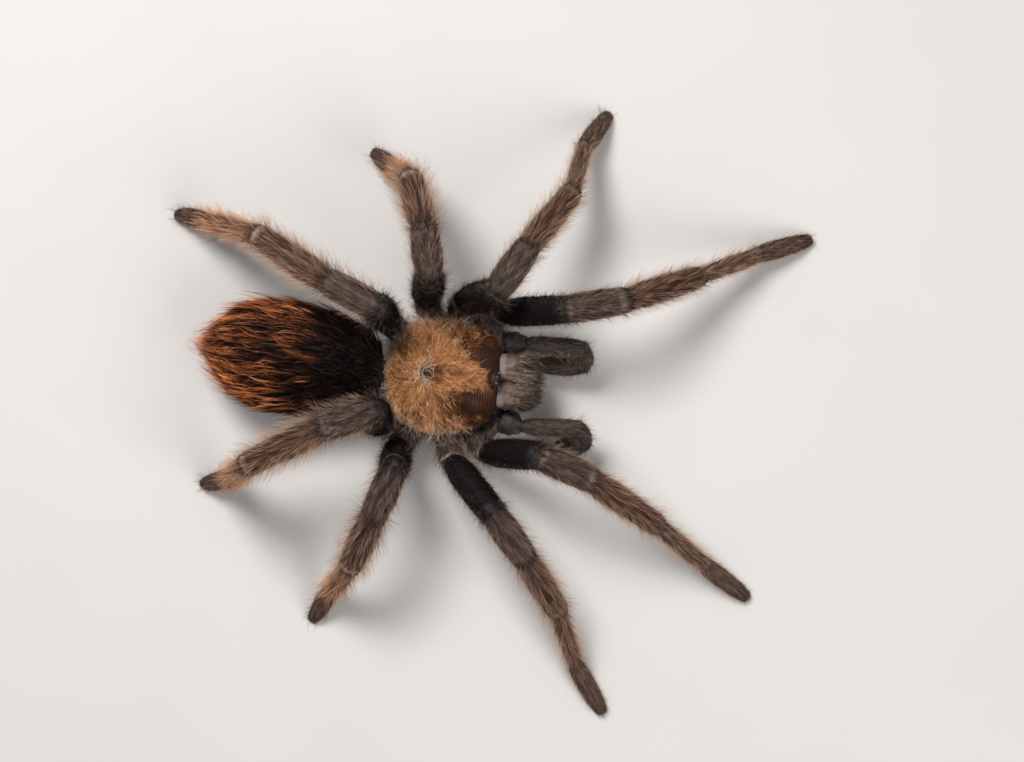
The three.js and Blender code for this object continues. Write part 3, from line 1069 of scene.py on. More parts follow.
# ------ pelts
COXA_PELT = Pelt(
    skin="#2b201b", marked_skin="#463730", marker=lengthwise, depth=0.05,
    hairs=(
        Hair(12, 0.9, 0.08, 28, "#1f1714", "#54443b"),
        Hair(8.0, 2.3, 0.045, 44, "#2c211c", "#8a7366", bends=1, clump=0.55, lock=0.8, wave=0.3, sway=30),
    ),
)
TROCHANTER_PELT = replace(COXA_PELT, rim="#8d766c", rim_mm=0.26)
FOLD_PELT = Pelt(
    skin="#35291f", marked_skin="#76635a", marker=lengthwise, depth=0.0,
    hairs=(
        Hair(7, 1.0, 0.06, 30, "#1f1714", "#5a4a41"),
        Hair(6.0, 1.9, 0.045, 42, "#2c211c", "#93796a", bends=1, clump=0.5, lock=0.8, wave=0.3, sway=34),
    ),
)
FEMUR_PELT = Pelt(
    skin="#050202", marked_skin="#0b0605", marker=lengthwise, depth=0.12,
    hairs=(
        Hair(19, 0.6, 0.08, 36, "#030101", "#0a0504", "#050202", "#140c09"),
        Hair(4.5, 1.1, 0.055, 46, "#040202", "#180e0a", "#080403", "#2a1b15"),
        Hair(2.4, 1.8, 0.035, 56, "#120a07", "#806455", bends=1, flank=0.75),
    ),
    rim="#4c3a33",
)
PATELLA_PELT = Pelt(
    skin="#1e1511", marked_skin="#40332b", marker=lengthwise, depth=0.2,
    hairs=(
        Hair(18, 1.0, 0.07, 11, "#18100c", "#3b2c24", "#33261f", "#6f5b4e", sway=5),
        Hair(9.0, 1.9, 0.045, 12, "#271c17", "#54433a", "#4a3a31", "#967e6d", bends=1, clump=0.3, lock=0.3, sway=5),
        Hair(7.0, 2.1, 0.034, 48, "#4a382e", "#b0937f", bends=1, flank=0.8, droop=0.5, uneven=0.1),
    ),
    rim="#8f7c6f",
)
TIBIA_PELT = Pelt(
    skin="#1e130f", marked_skin="#432d23", marker=lengthwise, depth=0.38,
    hairs=(
        Hair(15, 1.1, 0.07, 12, "#170d09", "#422b20", "#3a261c", "#8a5f45", sway=5),
        Hair(9.0, 2.3, 0.045, 14, "#20130e", "#593d30", "#523729", "#c2937a", bends=1, clump=0.45, lock=0.35, sway=5),
        Hair(12.0, 2.7, 0.036, 48, "#5c4436", "#c9a48a", bends=1, flank=0.82, droop=0.55, wave=0.15, uneven=0.1),
    ),
    rim="#9a8374",
    rim_mm=0.14,
)
METATARSUS_PELT = Pelt(
    skin="#261a15", marked_skin="#4f3b2f", marker=lengthwise, depth=0.56,
    hairs=(
        Hair(16, 0.9, 0.07, 13, "#1e130e", "#4b3428", "#432e22", "#93705a", sway=5),
        Hair(9.0, 2.0, 0.045, 18, "#2a1c15", "#6a4c3e", "#5c4031", "#cda389", bends=1, clump=0.45, lock=0.3, sway=6),
        Hair(12.0, 2.5, 0.036, 46, "#664b3b", "#d4ae94", bends=1, flank=0.72, droop=0.55, wave=0.15, uneven=0.1),
    ),
    rim="#85705f",
)
HIND_METATARSUS_PELT = Pelt(
    skin="#33221a", marked_skin="#634635", marker=lengthwise, depth=0.56,
    hairs=(
        Hair(15, 1.0, 0.07, 14, "#2c1d15", "#5c3f2e", "#503626", "#a0724f", sway=6),
        Hair(9.0, 2.3, 0.045, 22, "#38251a", "#8a5f43", "#75503a", "#dfa67c", bends=1, clump=0.5, lock=0.4, sway=8),
        Hair(
            14.0, 3.2, 0.042, 41, "#7d5238", "#f2bb91", bends=1, flank=0.4, droop=0.85, wave=0.2,
            uneven=0.2, gathers=0.6, clump=0.5, lock=0.25,
        ),
    ),
    rim="#8b7160",
)
TARSUS_PELT = Pelt(
    skin="#241a15", marked_skin="#46352b", marker=lengthwise, depth=0.16,
    hairs=(
        Hair(28, 0.6, 0.06, 18, "#241914", "#4d3a2f", "#3c2c24", "#7a604f", sway=7),
        Hair(8.0, 1.2, 0.042, 20, "#35261e", "#755a4a", "#5b4234", "#ae876f", bends=1, clump=0.3, lock=0.3, sway=7),
        Hair(4.0, 1.5, 0.034, 46, "#5a4132", "#c79f84", bends=1, flank=0.6),
    ),
)
PALP_PELT = Pelt(
    skin="#1d1815", marked_skin="#312a25", marker=lengthwise, depth=0.16,
    hairs=(
        Hair(22, 0.7, 0.065, 15, "#2a211d", "#594b42", "#3a2f29", "#77665a", sway=6),
        Hair(6.0, 1.2, 0.045, 19, "#332924", "#6b5b51", "#493c34", "#9c8777", bends=1, clump=0.3, lock=0.3, sway=6),
        Hair(3.2, 1.9, 0.034, 54, "#2b2019", "#9c8371", bends=1, flank=0.6),
    ),
    rim="#65574f",
)
KNOB_PELT = replace(PALP_PELT, hairs=(Hair(20, 0.4, 0.06, 14, "#221c19", "#453c36", "#2f2723", "#5a4d44", sway=6),))
JAW_PELT = Pelt(
    skin="#3a2f29", marked_skin="#5e4d43", marker=jaw_streaks, depth=0.1,
    hairs=(
        Hair(28, 0.8, 0.055, 11, "#1c1512", "#372c26", "#4a3d35", "#8a7566", sway=6),
        Hair(11.0, 1.7, 0.046, 14, "#1b1411", "#3b302a", "#66513f", "#dcbea3", bends=1, clump=0.45, lock=0.3, sway=6),
        Hair(3.0, 0.9, 0.045, 50, "#1d1512", "#51443b"),
    ),
    rim="#5f5553",
)
ABDOMEN_PELT = Pelt(
    skin="#030101", marked_skin="#0b0402", marker=rusty, depth=0.9,
    hairs=(
        Hair(9.0, 1.7, 0.1, 22, "#020101", "#080302", "#040101", "#110703", sway=8),
        Hair(
            5.0, 2.9, 0.07, 18, "#030101", "#100705", "#080201", "#260d05", bends=1,
            sway=7, clump=0.7, lock=0.5, patchy=0.25,
        ),
    ),
)
ABDOMEN_LONG_PELT = replace(
    ABDOMEN_PELT,
    hairs=(
        Hair(
            density=5.8, length=4.6, width=0.055, lift=15, root="#030101", tip="#1e0f09",
            marked_root="#330e03", marked_tip="#f8945a", droop=0.9, bends=2, sway=5,
            clump=0.92, lock=0.5, wave=0.42, patchy=0.8, uneven=0.24,
        ),
        Hair(
            density=0.6, length=4.4, width=0.04, lift=30, root="#170a06", tip="#6b4c3a",
            marked_root="#6a2a12", marked_tip="#d08455", droop=0.9, bends=2, sway=10, wave=0.3,
        ),
    ),
)
# marked colours: the shell's darker blotches, partly painted shade between the radial tufts
SHELL_PELT = Pelt(
    skin="#6b4023", marked_skin="#331c0e", marker=blotched_and_shaded, depth=0.2,
    hairs=(
        Hair(
            78, 0.8, 0.055, 15, "#87532c", "#d89a64", "#3a200f", "#6f4224", sway=24,
            clump=0.5, lock=0.5, uneven=0.15,
        ),
        Hair(
            13, 1.5, 0.042, 17, "#9c653a", "#f0b983", "#492913", "#905c36", bends=2, sway=26,
            clump=0.55, lock=0.8, wave=0.6, uneven=0.18,
        ),
        Hair(0.8, 1.7, 0.04, 28, "#b3835c", "#f2d6b8", bends=2, sway=60, wave=0.6),
    ),
)
MARGIN_PELT = Pelt(
    skin="#5a381f",
    marked_skin="#5a381f",
    marker=plain,
    hairs=(
        Hair(
            24, 1.35, 0.045, 14, "#6b4a31", "#c9a284", bends=2, sway=16, clump=0.5, lock=0.8,
            wave=0.5, heading=66, uneven=0.16,
        ),
        Hair(
            6, 2.3, 0.04, 30, "#4b3a30", "#d3bfae", bends=2, sway=30, clump=0.45, lock=1.2,
            wave=0.5, uneven=0.2,
        ),
    ),
)
PIT_PELT = Pelt(
    skin="#40200f",
    marked_skin="#40200f",
    marker=plain,
    hairs=(
        Hair(36, 1.5, 0.042, 24, "#86694f", "#ecd9c6", bends=2, sway=75, wave=0.7),
    ),
)
CORE_PELT = Pelt(
    skin="#160f0c", marked_skin="#281d18", marker=plain, depth=0.1,
    hairs=(
        Hair(9, 0.9, 0.08, 24, "#140d0a", "#362821"),
        Hair(
            9, 2.3, 0.045, 56, "#1d1511", "#7d675a", bends=1, clump=0.55, lock=0.8, sway=40, wave=0.3,
            droop=0.2, gathers=0.8,
        ),
    ),
)
SPINNERET_PELT = Pelt(
    skin="#33261f", marked_skin="#4c3a30", marker=lengthwise, depth=0.12,
    hairs=(Hair(22, 0.5, 0.05, 26, "#33261f", "#7a6252"),),
)


# ------ limbs
class Segment(Enum):
    """The stretches of a limb from the body outwards."""

    COXA = "coxa"
    TROCHANTER = "trochanter"
    FEMUR = "femur"
    PATELLA = "patella"
    TIBIA = "tibia"
    METATARSUS = "metatarsus"
    TARSUS = "tarsus"


@dataclass(frozen=True)
class Build:
    """How one stretch of a limb is shaped inside its solid."""

    node: str
    pelt: Pelt
    start: float  # width at its start, as a share of the width nearby
    end: float
    rims: tuple[float, float] = (0.0, 0.35)
    fullness: float = 1.0  # width of its middle, as a share of its solid's


LEG_BUILD = {
    Segment.COXA: Build("coxa", TROCHANTER_PELT, 0.95, 1.05, (0.0, 0.25)),
    Segment.TROCHANTER: Build("coxa", TROCHANTER_PELT, 1.02, 1.0, (0.0, 0.3)),
    Segment.FEMUR: Build("femur", FEMUR_PELT, 0.68, 0.9, (0.0, 0.3)),
    Segment.PATELLA: Build("patella", PATELLA_PELT, 0.9, 0.94, (0.3, 0.3)),
    Segment.TIBIA: Build("tibia", TIBIA_PELT, 0.84, 0.98, (0.0, 0.3)),
    Segment.METATARSUS: Build("foot", METATARSUS_PELT, 0.84, 0.86, (0.0, 0.25)),
    Segment.TARSUS: Build("foot", TARSUS_PELT, 0.86, 0.74, (0.0, 0.0)),
}
HIND_LEG_BUILD = LEG_BUILD | {
    Segment.METATARSUS: replace(LEG_BUILD[Segment.METATARSUS], pelt=HIND_METATARSUS_PELT),
}
PALP_BUILD = {
    Segment.COXA: Build("coxa", COXA_PELT, 0.85, 0.8, (0.0, 0.0)),
    Segment.TROCHANTER: Build("coxa", KNOB_PELT, 0.7, 0.7, (0.0, 0.0), 1.65),
    Segment.FEMUR: Build("femur", PALP_PELT, 0.5, 0.82, (0.25, 0.0), 0.97),
    Segment.PATELLA: Build("patella", PALP_PELT, 0.8, 0.9, (0.0, 0.0)),
    Segment.TIBIA: Build("tibia", PALP_PELT, 0.9, 0.85, (0.0, 0.0)),
    Segment.TARSUS: Build("tarsus", PALP_PELT, 0.9, 0.7, (0.0, 0.0)),
}
FOLDED = (Segment.PATELLA, Segment.TIBIA, Segment.METATARSUS, Segment.TARSUS)


@dataclass
class Limb:
    """A leg or palp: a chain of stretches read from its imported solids."""

    name: str
    build: dict[Segment, Build]
    hip_share: float = 0.72  # place of the bend before the trochanter
    tarsus_share: float = 0.4  # share of the foot that is tarsus
    hair_scale: float = 1.0  # factor on standing hair
    lofts: dict[Segment, Loft] = field(default_factory=dict)

    def node(self, part: str) -> str:
        """Returns the full node name of one of the limb's solids."""
        return f"{self.name}_{part}"

    def solids(self) -> list[str]:
        """Returns the limb's solids in order from the body outwards."""
        parts = dict.fromkeys(build.node for build in self.build.values())
        return [self.node(part) for part in parts]

    def joints(self) -> list[Array]:
        """Finds the ends of all the stretches.

        Returns:
            Points from the root of the limb to its tip.
        """
        names = self.solids()
        between = [joint_between(a, b) for a, b in zip(names, names[1:])]
        root, tip = far_end(names[0], between[0]), far_end(names[-1], between[-1])
        points = [root, self.bend(names[0], root, between[0], self.hip_share), *between]
        if Segment.METATARSUS in self.build:
            points.append(self.bend(names[-1], between[-1], tip, 1 - self.tarsus_share))
            tip = tip + np.array([0.0, 0.0, 0.12])
        return [*points, tip]

    def bend(self, name: str, start: Array, end: Array, share: float) -> Array:
        """Finds where a solid bends.

        Args:
            name: The solid's node name.
            start: Middle of its one end.
            end: Middle of its other end.
            share: Share of the way from start to end.

        Returns:
            The middle of the solid there.
        """
        side, up = cross_directions(end - start)
        return slice_at(edges_of(name), start + (end - start) * share, side, up).centre

    def read(self) -> None:
        """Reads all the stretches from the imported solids."""
        points = self.joints()
        for (segment, build), start, end in zip(self.build.items(), points, points[1:]):
            self.lofts[segment] = self.stretch(segment, build, start, end)

    def stretch(self, segment: Segment, build: Build, start: Array, end: Array) -> Loft:
        """Makes one stretch inside its solid by the depth of the coat.

        Args:
            segment: Which stretch it is.
            build: How it is shaped.
            start: Middle of its start.
            end: Middle of its end.

        Returns:
            The stretch's form.
        """
        side, up = cross_directions(end - start)
        edges = edges_of(self.node(build.node))
        cuts = [slice_at(edges, start + (end - start) * share, side, up) for share in (0.3, 0.5, 0.7)]
        widths = build.fullness * np.array([cut.half_width for cut in cuts]) / 0.98 - build.pelt.depth
        heights = build.fullness * np.array([cut.half_height for cut in cuts]) / 0.98 - build.pelt.depth
        length = float(np.linalg.norm(end - start))
        last = segment == Segment.TARSUS
        cap = 0.75 * widths[-1] * build.end / length
        return Loft(
            name=f"{self.name}_{segment.value}",
            pelt=build.pelt,
            knots=np.array([0, 0.25, 0.5, 0.75, 1]),
            centres=np.linspace(start, end, 5),
            widths=np.array([widths[0] * build.start, *widths, widths[-1] * build.end]),
            heights=np.array([heights[0] * build.start, *heights, heights[-1] * build.end]),
            side=side,
            up=up,
            caps=(0.6 * widths[0] * build.start / length, 0.7 / length if last else cap),
            hairy=(
                -(0.5 if segment in FOLDED else 0.1) * widths[0] / length,
                1 + (0.6 / length if last else 0.75 * cap),
            ),
            rims=build.rims,
            rings=max(14, int(length * 2)),
            tip_room=0.3 if last else 0.0,
            # fold: painted shade in the crease where a folded stretch or a palp's stretch starts
            fold=0.55 if segment in FOLDED or build.pelt in (PALP_PELT, KNOB_PELT) else 0.0,
        )


def cross_directions(along: Array) -> tuple[Array, Array]:
    """Finds the two directions across a limb.

    Args:
        along: The way the limb runs.

    Returns:
        The level direction to its left, and the direction of its back.
    """
    side = unit(np.array([-along[1], along[0], 0.0]))
    return side, np.cross(unit(along), side)


@dataclass
class Legs:
    """All eight legs and both palps with their coats."""

    tarsus_shares: tuple[float, ...] = (0.414, 0.411, 0.361, 0.315)  # share of the foot, front pair first
    long_hair: tuple[float, ...] = (0.85, 0.95, 1.15, 1.2)  # factor on standing hair: hind legs are shaggier
    hip_share: float = 0.72  # place of a leg's bend before the trochanter
    palp_hip_share: float = 0.67
    fold_shares: tuple[float, ...] = (0.95, 0.6, 0.5, 0.5)  # how far out on the coxae the fold before a leg sits
    fold_size: tuple[float, float] = (1.5, 1.1)  # mm, half width and half height of a fold

    def __post_init__(self) -> None:
        """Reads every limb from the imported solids."""
        sides = ("left", "right")
        self.legs = [
            Limb(f"{side}_leg_{pair}", HIND_LEG_BUILD if pair > 2 else LEG_BUILD, self.hip_share, share, longer)
            for side in sides
            for pair, share, longer in zip(range(1, 5), self.tarsus_shares, self.long_hair)
        ]
        self.palps = [Limb(f"{side}_palp", PALP_BUILD, self.palp_hip_share) for side in sides]
        for limb in self.all():
            limb.read()
        self.folds = [fold for side in sides for fold in self.read_folds(side)]

    def read_folds(self, side: str) -> list[Loft]:
        """Makes the soft folds of skin that close the gaps between neighbouring hips.

        Args:
            side: "left" or "right".

        Returns:
            A form from each limb's coxa to the next one's.
        """
        limbs = [limb for limb in [*self.palps, *self.legs] if limb.name.startswith(side)]
        folds = []
        for ahead, behind in zip(limbs, limbs[1:]):
            share = np.array([self.fold_shares[int(behind.name[-1]) - 1]])
            ends = [limb.lofts[Segment.COXA].middle(share)[0] for limb in (ahead, behind)]
            across, up = cross_directions(ends[1] - ends[0])
            waisted = np.array([1.0, 0.9, 0.85, 0.9, 1.0])
            knots, centres = np.linspace(0, 1, 5), np.linspace(*ends, 5)
            width, height = (size * waisted for size in self.fold_size)
            name = f"{behind.name}_fold"
            folds.append(Loft(name, FOLD_PELT, knots, centres, width, height, across, up, sides=16, rings=12))
        return folds

    def all(self) -> list[Limb]:
        """Returns the legs and the palps."""
        return self.legs + self.palps

    def lofts(self) -> list[Loft]:
        """Returns every stretch of every limb."""
        return [loft for limb in self.all() for loft in limb.lofts.values()] + self.folds

    def dress(self, hair: Material) -> None:
        """Grows the coats of all the limbs.

        Args:
            hair: The hair's material.
        """
        hips, velvet = Coat("hip_hair", 31), Coat("femur_velvet", 32)
        for index, leg in enumerate(self.legs):
            strip = Chart(low=0.01 + 0.122 * index, high=0.01 + 0.122 * index + 0.115)
            hips.grow(leg.lofts[Segment.COXA], Chart(0.01, 0.6, strip.low, strip.high))
            hips.grow(leg.lofts[Segment.TROCHANTER], Chart(0.62, 0.85, strip.low, strip.high))
            hips.grow(self.folds[index], Chart(0.87, 0.99, strip.low, strip.high))
            velvet.grow(leg.lofts[Segment.FEMUR], strip, longer=leg.hair_scale)
            self.dress_leg(leg, 40 + index, hair)
        hips.finish(hair, "grey_brown_hair")
        velvet.finish(hair, "black_velvet")
        for index, palp in enumerate(self.palps):
            self.dress_palp(palp, 60 + index, hair)

    def dress_leg(self, leg: Limb, seed: int, hair: Material) -> None:
        """Grows the coat of a leg from its patella to its tarsus.

        Args:
            leg: The leg.
            seed: Picks the hairs' places.
            hair: The hair's material.
        """
        coat = Coat(f"{leg.name}_hair", seed)
        outer = [Segment.PATELLA, Segment.TIBIA, Segment.METATARSUS, Segment.TARSUS]
        edges = np.linspace(0.01, 0.99, len(outer) + 1)
        for segment, left, right in zip(outer, edges, edges[1:]):
            coat.grow(leg.lofts[segment], Chart(left, right), longer=leg.hair_scale)
        coat.finish(hair, "brown_hair")

    def dress_palp(self, palp: Limb, seed: int, hair: Material) -> None:
        """Grows the coat of a palp.

        Args:
            palp: The palp.
            seed: Picks the hairs' places.
            hair: The hair's material.
        """
        coat = Coat(f"{palp.name}_hair", seed)
        edges = np.linspace(0.01, 0.99, len(palp.lofts) + 1)
        for loft, left, right in zip(palp.lofts.values(), edges, edges[1:]):
            coat.grow(loft, Chart(left, right))
        coat.finish(hair, "charcoal_hair")


# ------ abdomen, core and jaws
def oval_loft(name: str, node: str, pelt: Pelt, spans: tuple[float, ...], inset: float) -> Loft:
    """Reads a form that runs along the body from its solid.

    Args:
        name: Name of the form.
        node: Node name of the solid.
        pelt: The form's finish.
        spans: Shares of the solid's length, from its front to its rear, where it is measured.
        inset: How much shorter the form is at each end, in millimetres.

    Returns:
        The form, inside the solid by the depth of its coat.
    """
    points, edges = corners_of(node), edges_of(node)
    front, rear = points[:, 0].max(), points[:, 0].min()
    side, up = np.array([0.0, -1.0, 0.0]), np.array([0.0, 0.0, 1.0])
    centre = points.mean(axis=0)
    stations = [front + (rear - front) * span for span in spans]
    cuts = [slice_at(edges, np.array([x, centre[1], centre[2]]), side, up, 12) for x in stations]
    first, last = stations[0] - inset, stations[-1] + inset
    share = (np.array(stations) - stations[0]) / (stations[-1] - stations[0])
    centres = np.array([cut.centre for cut in cuts])
    centres[:, 0] = first + (last - first) * share
    return Loft(
        name=name,
        pelt=pelt,
        knots=share,
        centres=centres,
        widths=np.array([cut.half_width for cut in cuts]) - pelt.depth,
        heights=np.array([cut.half_height for cut in cuts]) - pelt.depth,
        side=side,
        up=up,
    )


@dataclass
class Abdomen:
    """The long oval abdomen with its waist, spinnerets and two layers of coat."""

    spans: tuple[float, ...] = (0.15, 0.2, 0.26, 0.33, 0.42, 0.5, 0.6, 0.7, 0.77, 0.83, 0.88, 0.92, 0.955)
    inset: float = 0.4  # mm by which the skin is shorter than its measured cuts at each end
    waist_widths: tuple[float, ...] = (1.3, 1.1, 1.7)  # mm, half widths from the front
    waist_heights: tuple[float, ...] = (1.1, 1.0, 1.5)
    spinneret_widths: tuple[float, ...] = (0.5, 0.52, 0.44, 0.5, 0.42, 0.46, 0.36, 0.22)  # three swellings

    def __post_init__(self) -> None:
        """Reads the abdomen and the spinnerets from their solids."""
        self.sac = oval_loft("abdomen", "abdomen", ABDOMEN_PELT, self.spans, self.inset)
        self.sac.caps, self.sac.sides, self.sac.rings = (0.05, 0.035), 64, 56
        self.sac.hairy = (-0.03, 1.03)
        front = self.sac.centres[0]
        waist = np.array([front + [6.0, 0, -1.4], front + [2.5, 0, -1.2], front + [-1.0, 0, -0.6]])
        self.waist = Loft(
            "waist", CORE_PELT, np.array([0, 0.5, 1]), waist, np.array(self.waist_widths),
            np.array(self.waist_heights), self.sac.side, self.sac.up, sides=20,
        )
        self.spinnerets = [self.read_spinneret(f"{side}_spinneret") for side in ("left", "right")]

    def read_spinneret(self, node: str) -> Loft:
        """Reads a spinneret from its solid.

        Args:
            node: The spinneret's node name.

        Returns:
            Its form, with three swellings like the joints of a finger.
        """
        points = corners_of(node)
        tip = points[points[:, 0] < points[:, 0].min() + 0.4].mean(axis=0)
        root = points[points[:, 0] > points[:, 0].max() - 0.6].mean(axis=0) + [0.8, 0, 0.1]
        side, up = cross_directions(tip - root)
        widths = np.array(self.spinneret_widths)
        knots, centres = np.linspace(0, 1, len(widths)), np.linspace(root, tip, len(widths))
        return Loft(node, SPINNERET_PELT, knots, centres, widths, widths, side, up, sides=14)

    def lofts(self) -> list[Loft]:
        """Returns the abdomen's forms."""
        return [self.sac, self.waist, *self.spinnerets]

    def dress(self, hair: Material) -> None:
        """Grows the black underfur and the long rust hair.

        Args:
            hair: The hair's material.
        """
        under = Coat("abdomen_underfur", 71)
        under.grow(self.sac, Chart(0.01, 0.93))
        for index, spinneret in enumerate(self.spinnerets):
            under.grow(spinneret, Chart(0.94, 0.99, 0.01 + 0.5 * index, 0.49 + 0.5 * index))
        under.finish(hair, "rust_hair")
        long_hair = Coat("abdomen_long_hair", 72)
        self.sac.pelt = ABDOMEN_LONG_PELT
        long_hair.grow(self.sac, Chart())
        long_hair.finish(hair, "rust_hair")


@dataclass
class Jaws:
    """The pair of chelicerae with the bald band at their base, and the fangs."""

    spans: tuple[float, ...] = (0.97, 0.86, 0.7, 0.57, 0.47, 0.38, 0.28)  # where a jaw is measured
    tucked: float = 1.2  # mm that each jaw's root runs in under the shell
    squareness: float = 3.4
    band: float = 0.2  # share of a jaw that is bald next to the shell
    closer: float = 0.22  # mm that each jaw is shifted and widened to meet the other
    rounding: float = 0.45  # mm by which each jaw's outer front corner draws in
    sloping: float = 0.12  # share by which the jaws are lower where the shell covers them
    slope_depth: float = 3.0  # mm of a jaw's depth that this share is taken of
    fang_radii: tuple[float, ...] = (0.6, 0.58, 0.5, 0.38, 0.2)
    fang_arc: tuple[float, float] = (-3.0, -88.0)  # degrees that a fang turns from its root to its tip

    def __post_init__(self) -> None:
        """Reads the jaws from their solids."""
        self.pair = [self.read_jaw(side) for side in ("left", "right")]

    def read_jaw(self, side: str) -> Loft:
        """Reads one jaw from its solid.

        Args:
            side: "left" or "right".

        Returns:
            The jaw's form, drawn in at its front corner and lower under the shell.
        """
        jaw = oval_loft(f"{side}_jaw", f"{side}_chelicera", JAW_PELT, self.spans, 0.0)
        jaw.centres[0, 0] -= self.tucked
        jaw.caps, jaw.rings, jaw.sides, jaw.squareness = (0.08, 0.12), 40, 40, self.squareness
        jaw.hairy, jaw.band = (self.band * 0.9, 1.1), self.band
        away = np.sign(jaw.centres[0, 1] - MIDLINE)
        rounding = self.rounding * jaw.knots**4
        covered = 1 - ramp(jaw.knots, 0.0, 0.5)
        jaw.widths += self.closer - rounding
        jaw.centres[:, 1] -= away * (self.closer + rounding)
        jaw.heights *= 1 - self.sloping * covered
        jaw.centres[:, 2] -= self.sloping * self.slope_depth * covered
        return jaw

    def lofts(self) -> list[Loft]:
        """Returns both jaws."""
        return self.pair

    def dress(self, hair: Material) -> None:
        """Grows the jaws' coat.

        Args:
            hair: The hair's material.
        """
        coat = Coat("jaw_hair", 81)
        for index, jaw in enumerate(self.pair):
            coat.grow(jaw, Chart(low=0.01 + 0.5 * index, high=0.49 + 0.5 * index))
        coat.finish(hair, "grey_brown_hair")

    def build_fangs(self, chitin: Material) -> None:
        """Makes the two curved fangs, smooth and round inside their solids.

        Args:
            chitin: The fangs' material.
        """
        for node in ("left_fang", "right_fang"):
            dressed(to_metres(self.fang(node)), chitin, (node,))

    def fang(self, node: str) -> Piece:
        """Makes one fang.

        Args:
            node: The fang's node name.

        Returns:
            A closed mesh in millimetres.
        """
        path, radii = self.fang_path(corners_of(node)), np.array(self.fang_radii)
        knots = np.linspace(0, 1, len(radii))
        side = np.array([0.0, 1.0, 0.0])

        def place(around: Array, along: Array) -> Array:
            """Finds the form's points.

            Args:
                around: Shares round it.
                along: Shares from pole to pole.

            Returns:
                Points in millimetres.
            """
            ease = np.sqrt(np.clip(np.minimum(along / 0.08, (1 - along) / 0.04), 0, 1))
            before, after = np.clip(along - 0.01, 0, 1), np.clip(along + 0.01, 0, 1)
            up = np.cross(unit(eased(after, knots, path) - eased(before, knots, path)), side)
            radius = (ease * eased(along, knots, radii))[:, None]
            turn = around[:, None] * FULL_TURN
            return eased(along, knots, path) + radius * (np.cos(turn) * side + np.sin(turn) * up)

        return wrapped(f"{node}_polished", 24, 40, place)

    def fang_path(self, points: Array) -> Array:
        """Finds the curved middle line of a fang.

        Args:
            points: The corners of its solid.

        Returns:
            Five points from the root to the tip.
        """
        top, tip = points[points[:, 2].argmax()], points[points[:, 0].argmin()]
        centre_y = points[:, 1].mean()
        pivot = np.array([tip[0] + 0.2, centre_y, top[2] + 0.4])
        start, stop = (math.radians(angle) for angle in self.fang_arc)
        path = [np.array([top[0] - 0.1, centre_y, top[2] - 0.1])]
        flat = points - pivot
        for share in (0.25, 0.5, 0.75):
            turn = start + (stop - start) * share
            away = np.array([math.cos(turn), 0.0, math.sin(turn)])
            reach = flat @ away
            near = np.abs(flat @ np.array([-math.sin(turn), 0.0, math.cos(turn)])) < 0.8
            path.append(pivot + away * (reach[near].max() + reach[near & (reach > 0)].min()) / 2)
        path.append(tip + np.array([0.1, 0.0, 0.05]))
        return np.array(path)


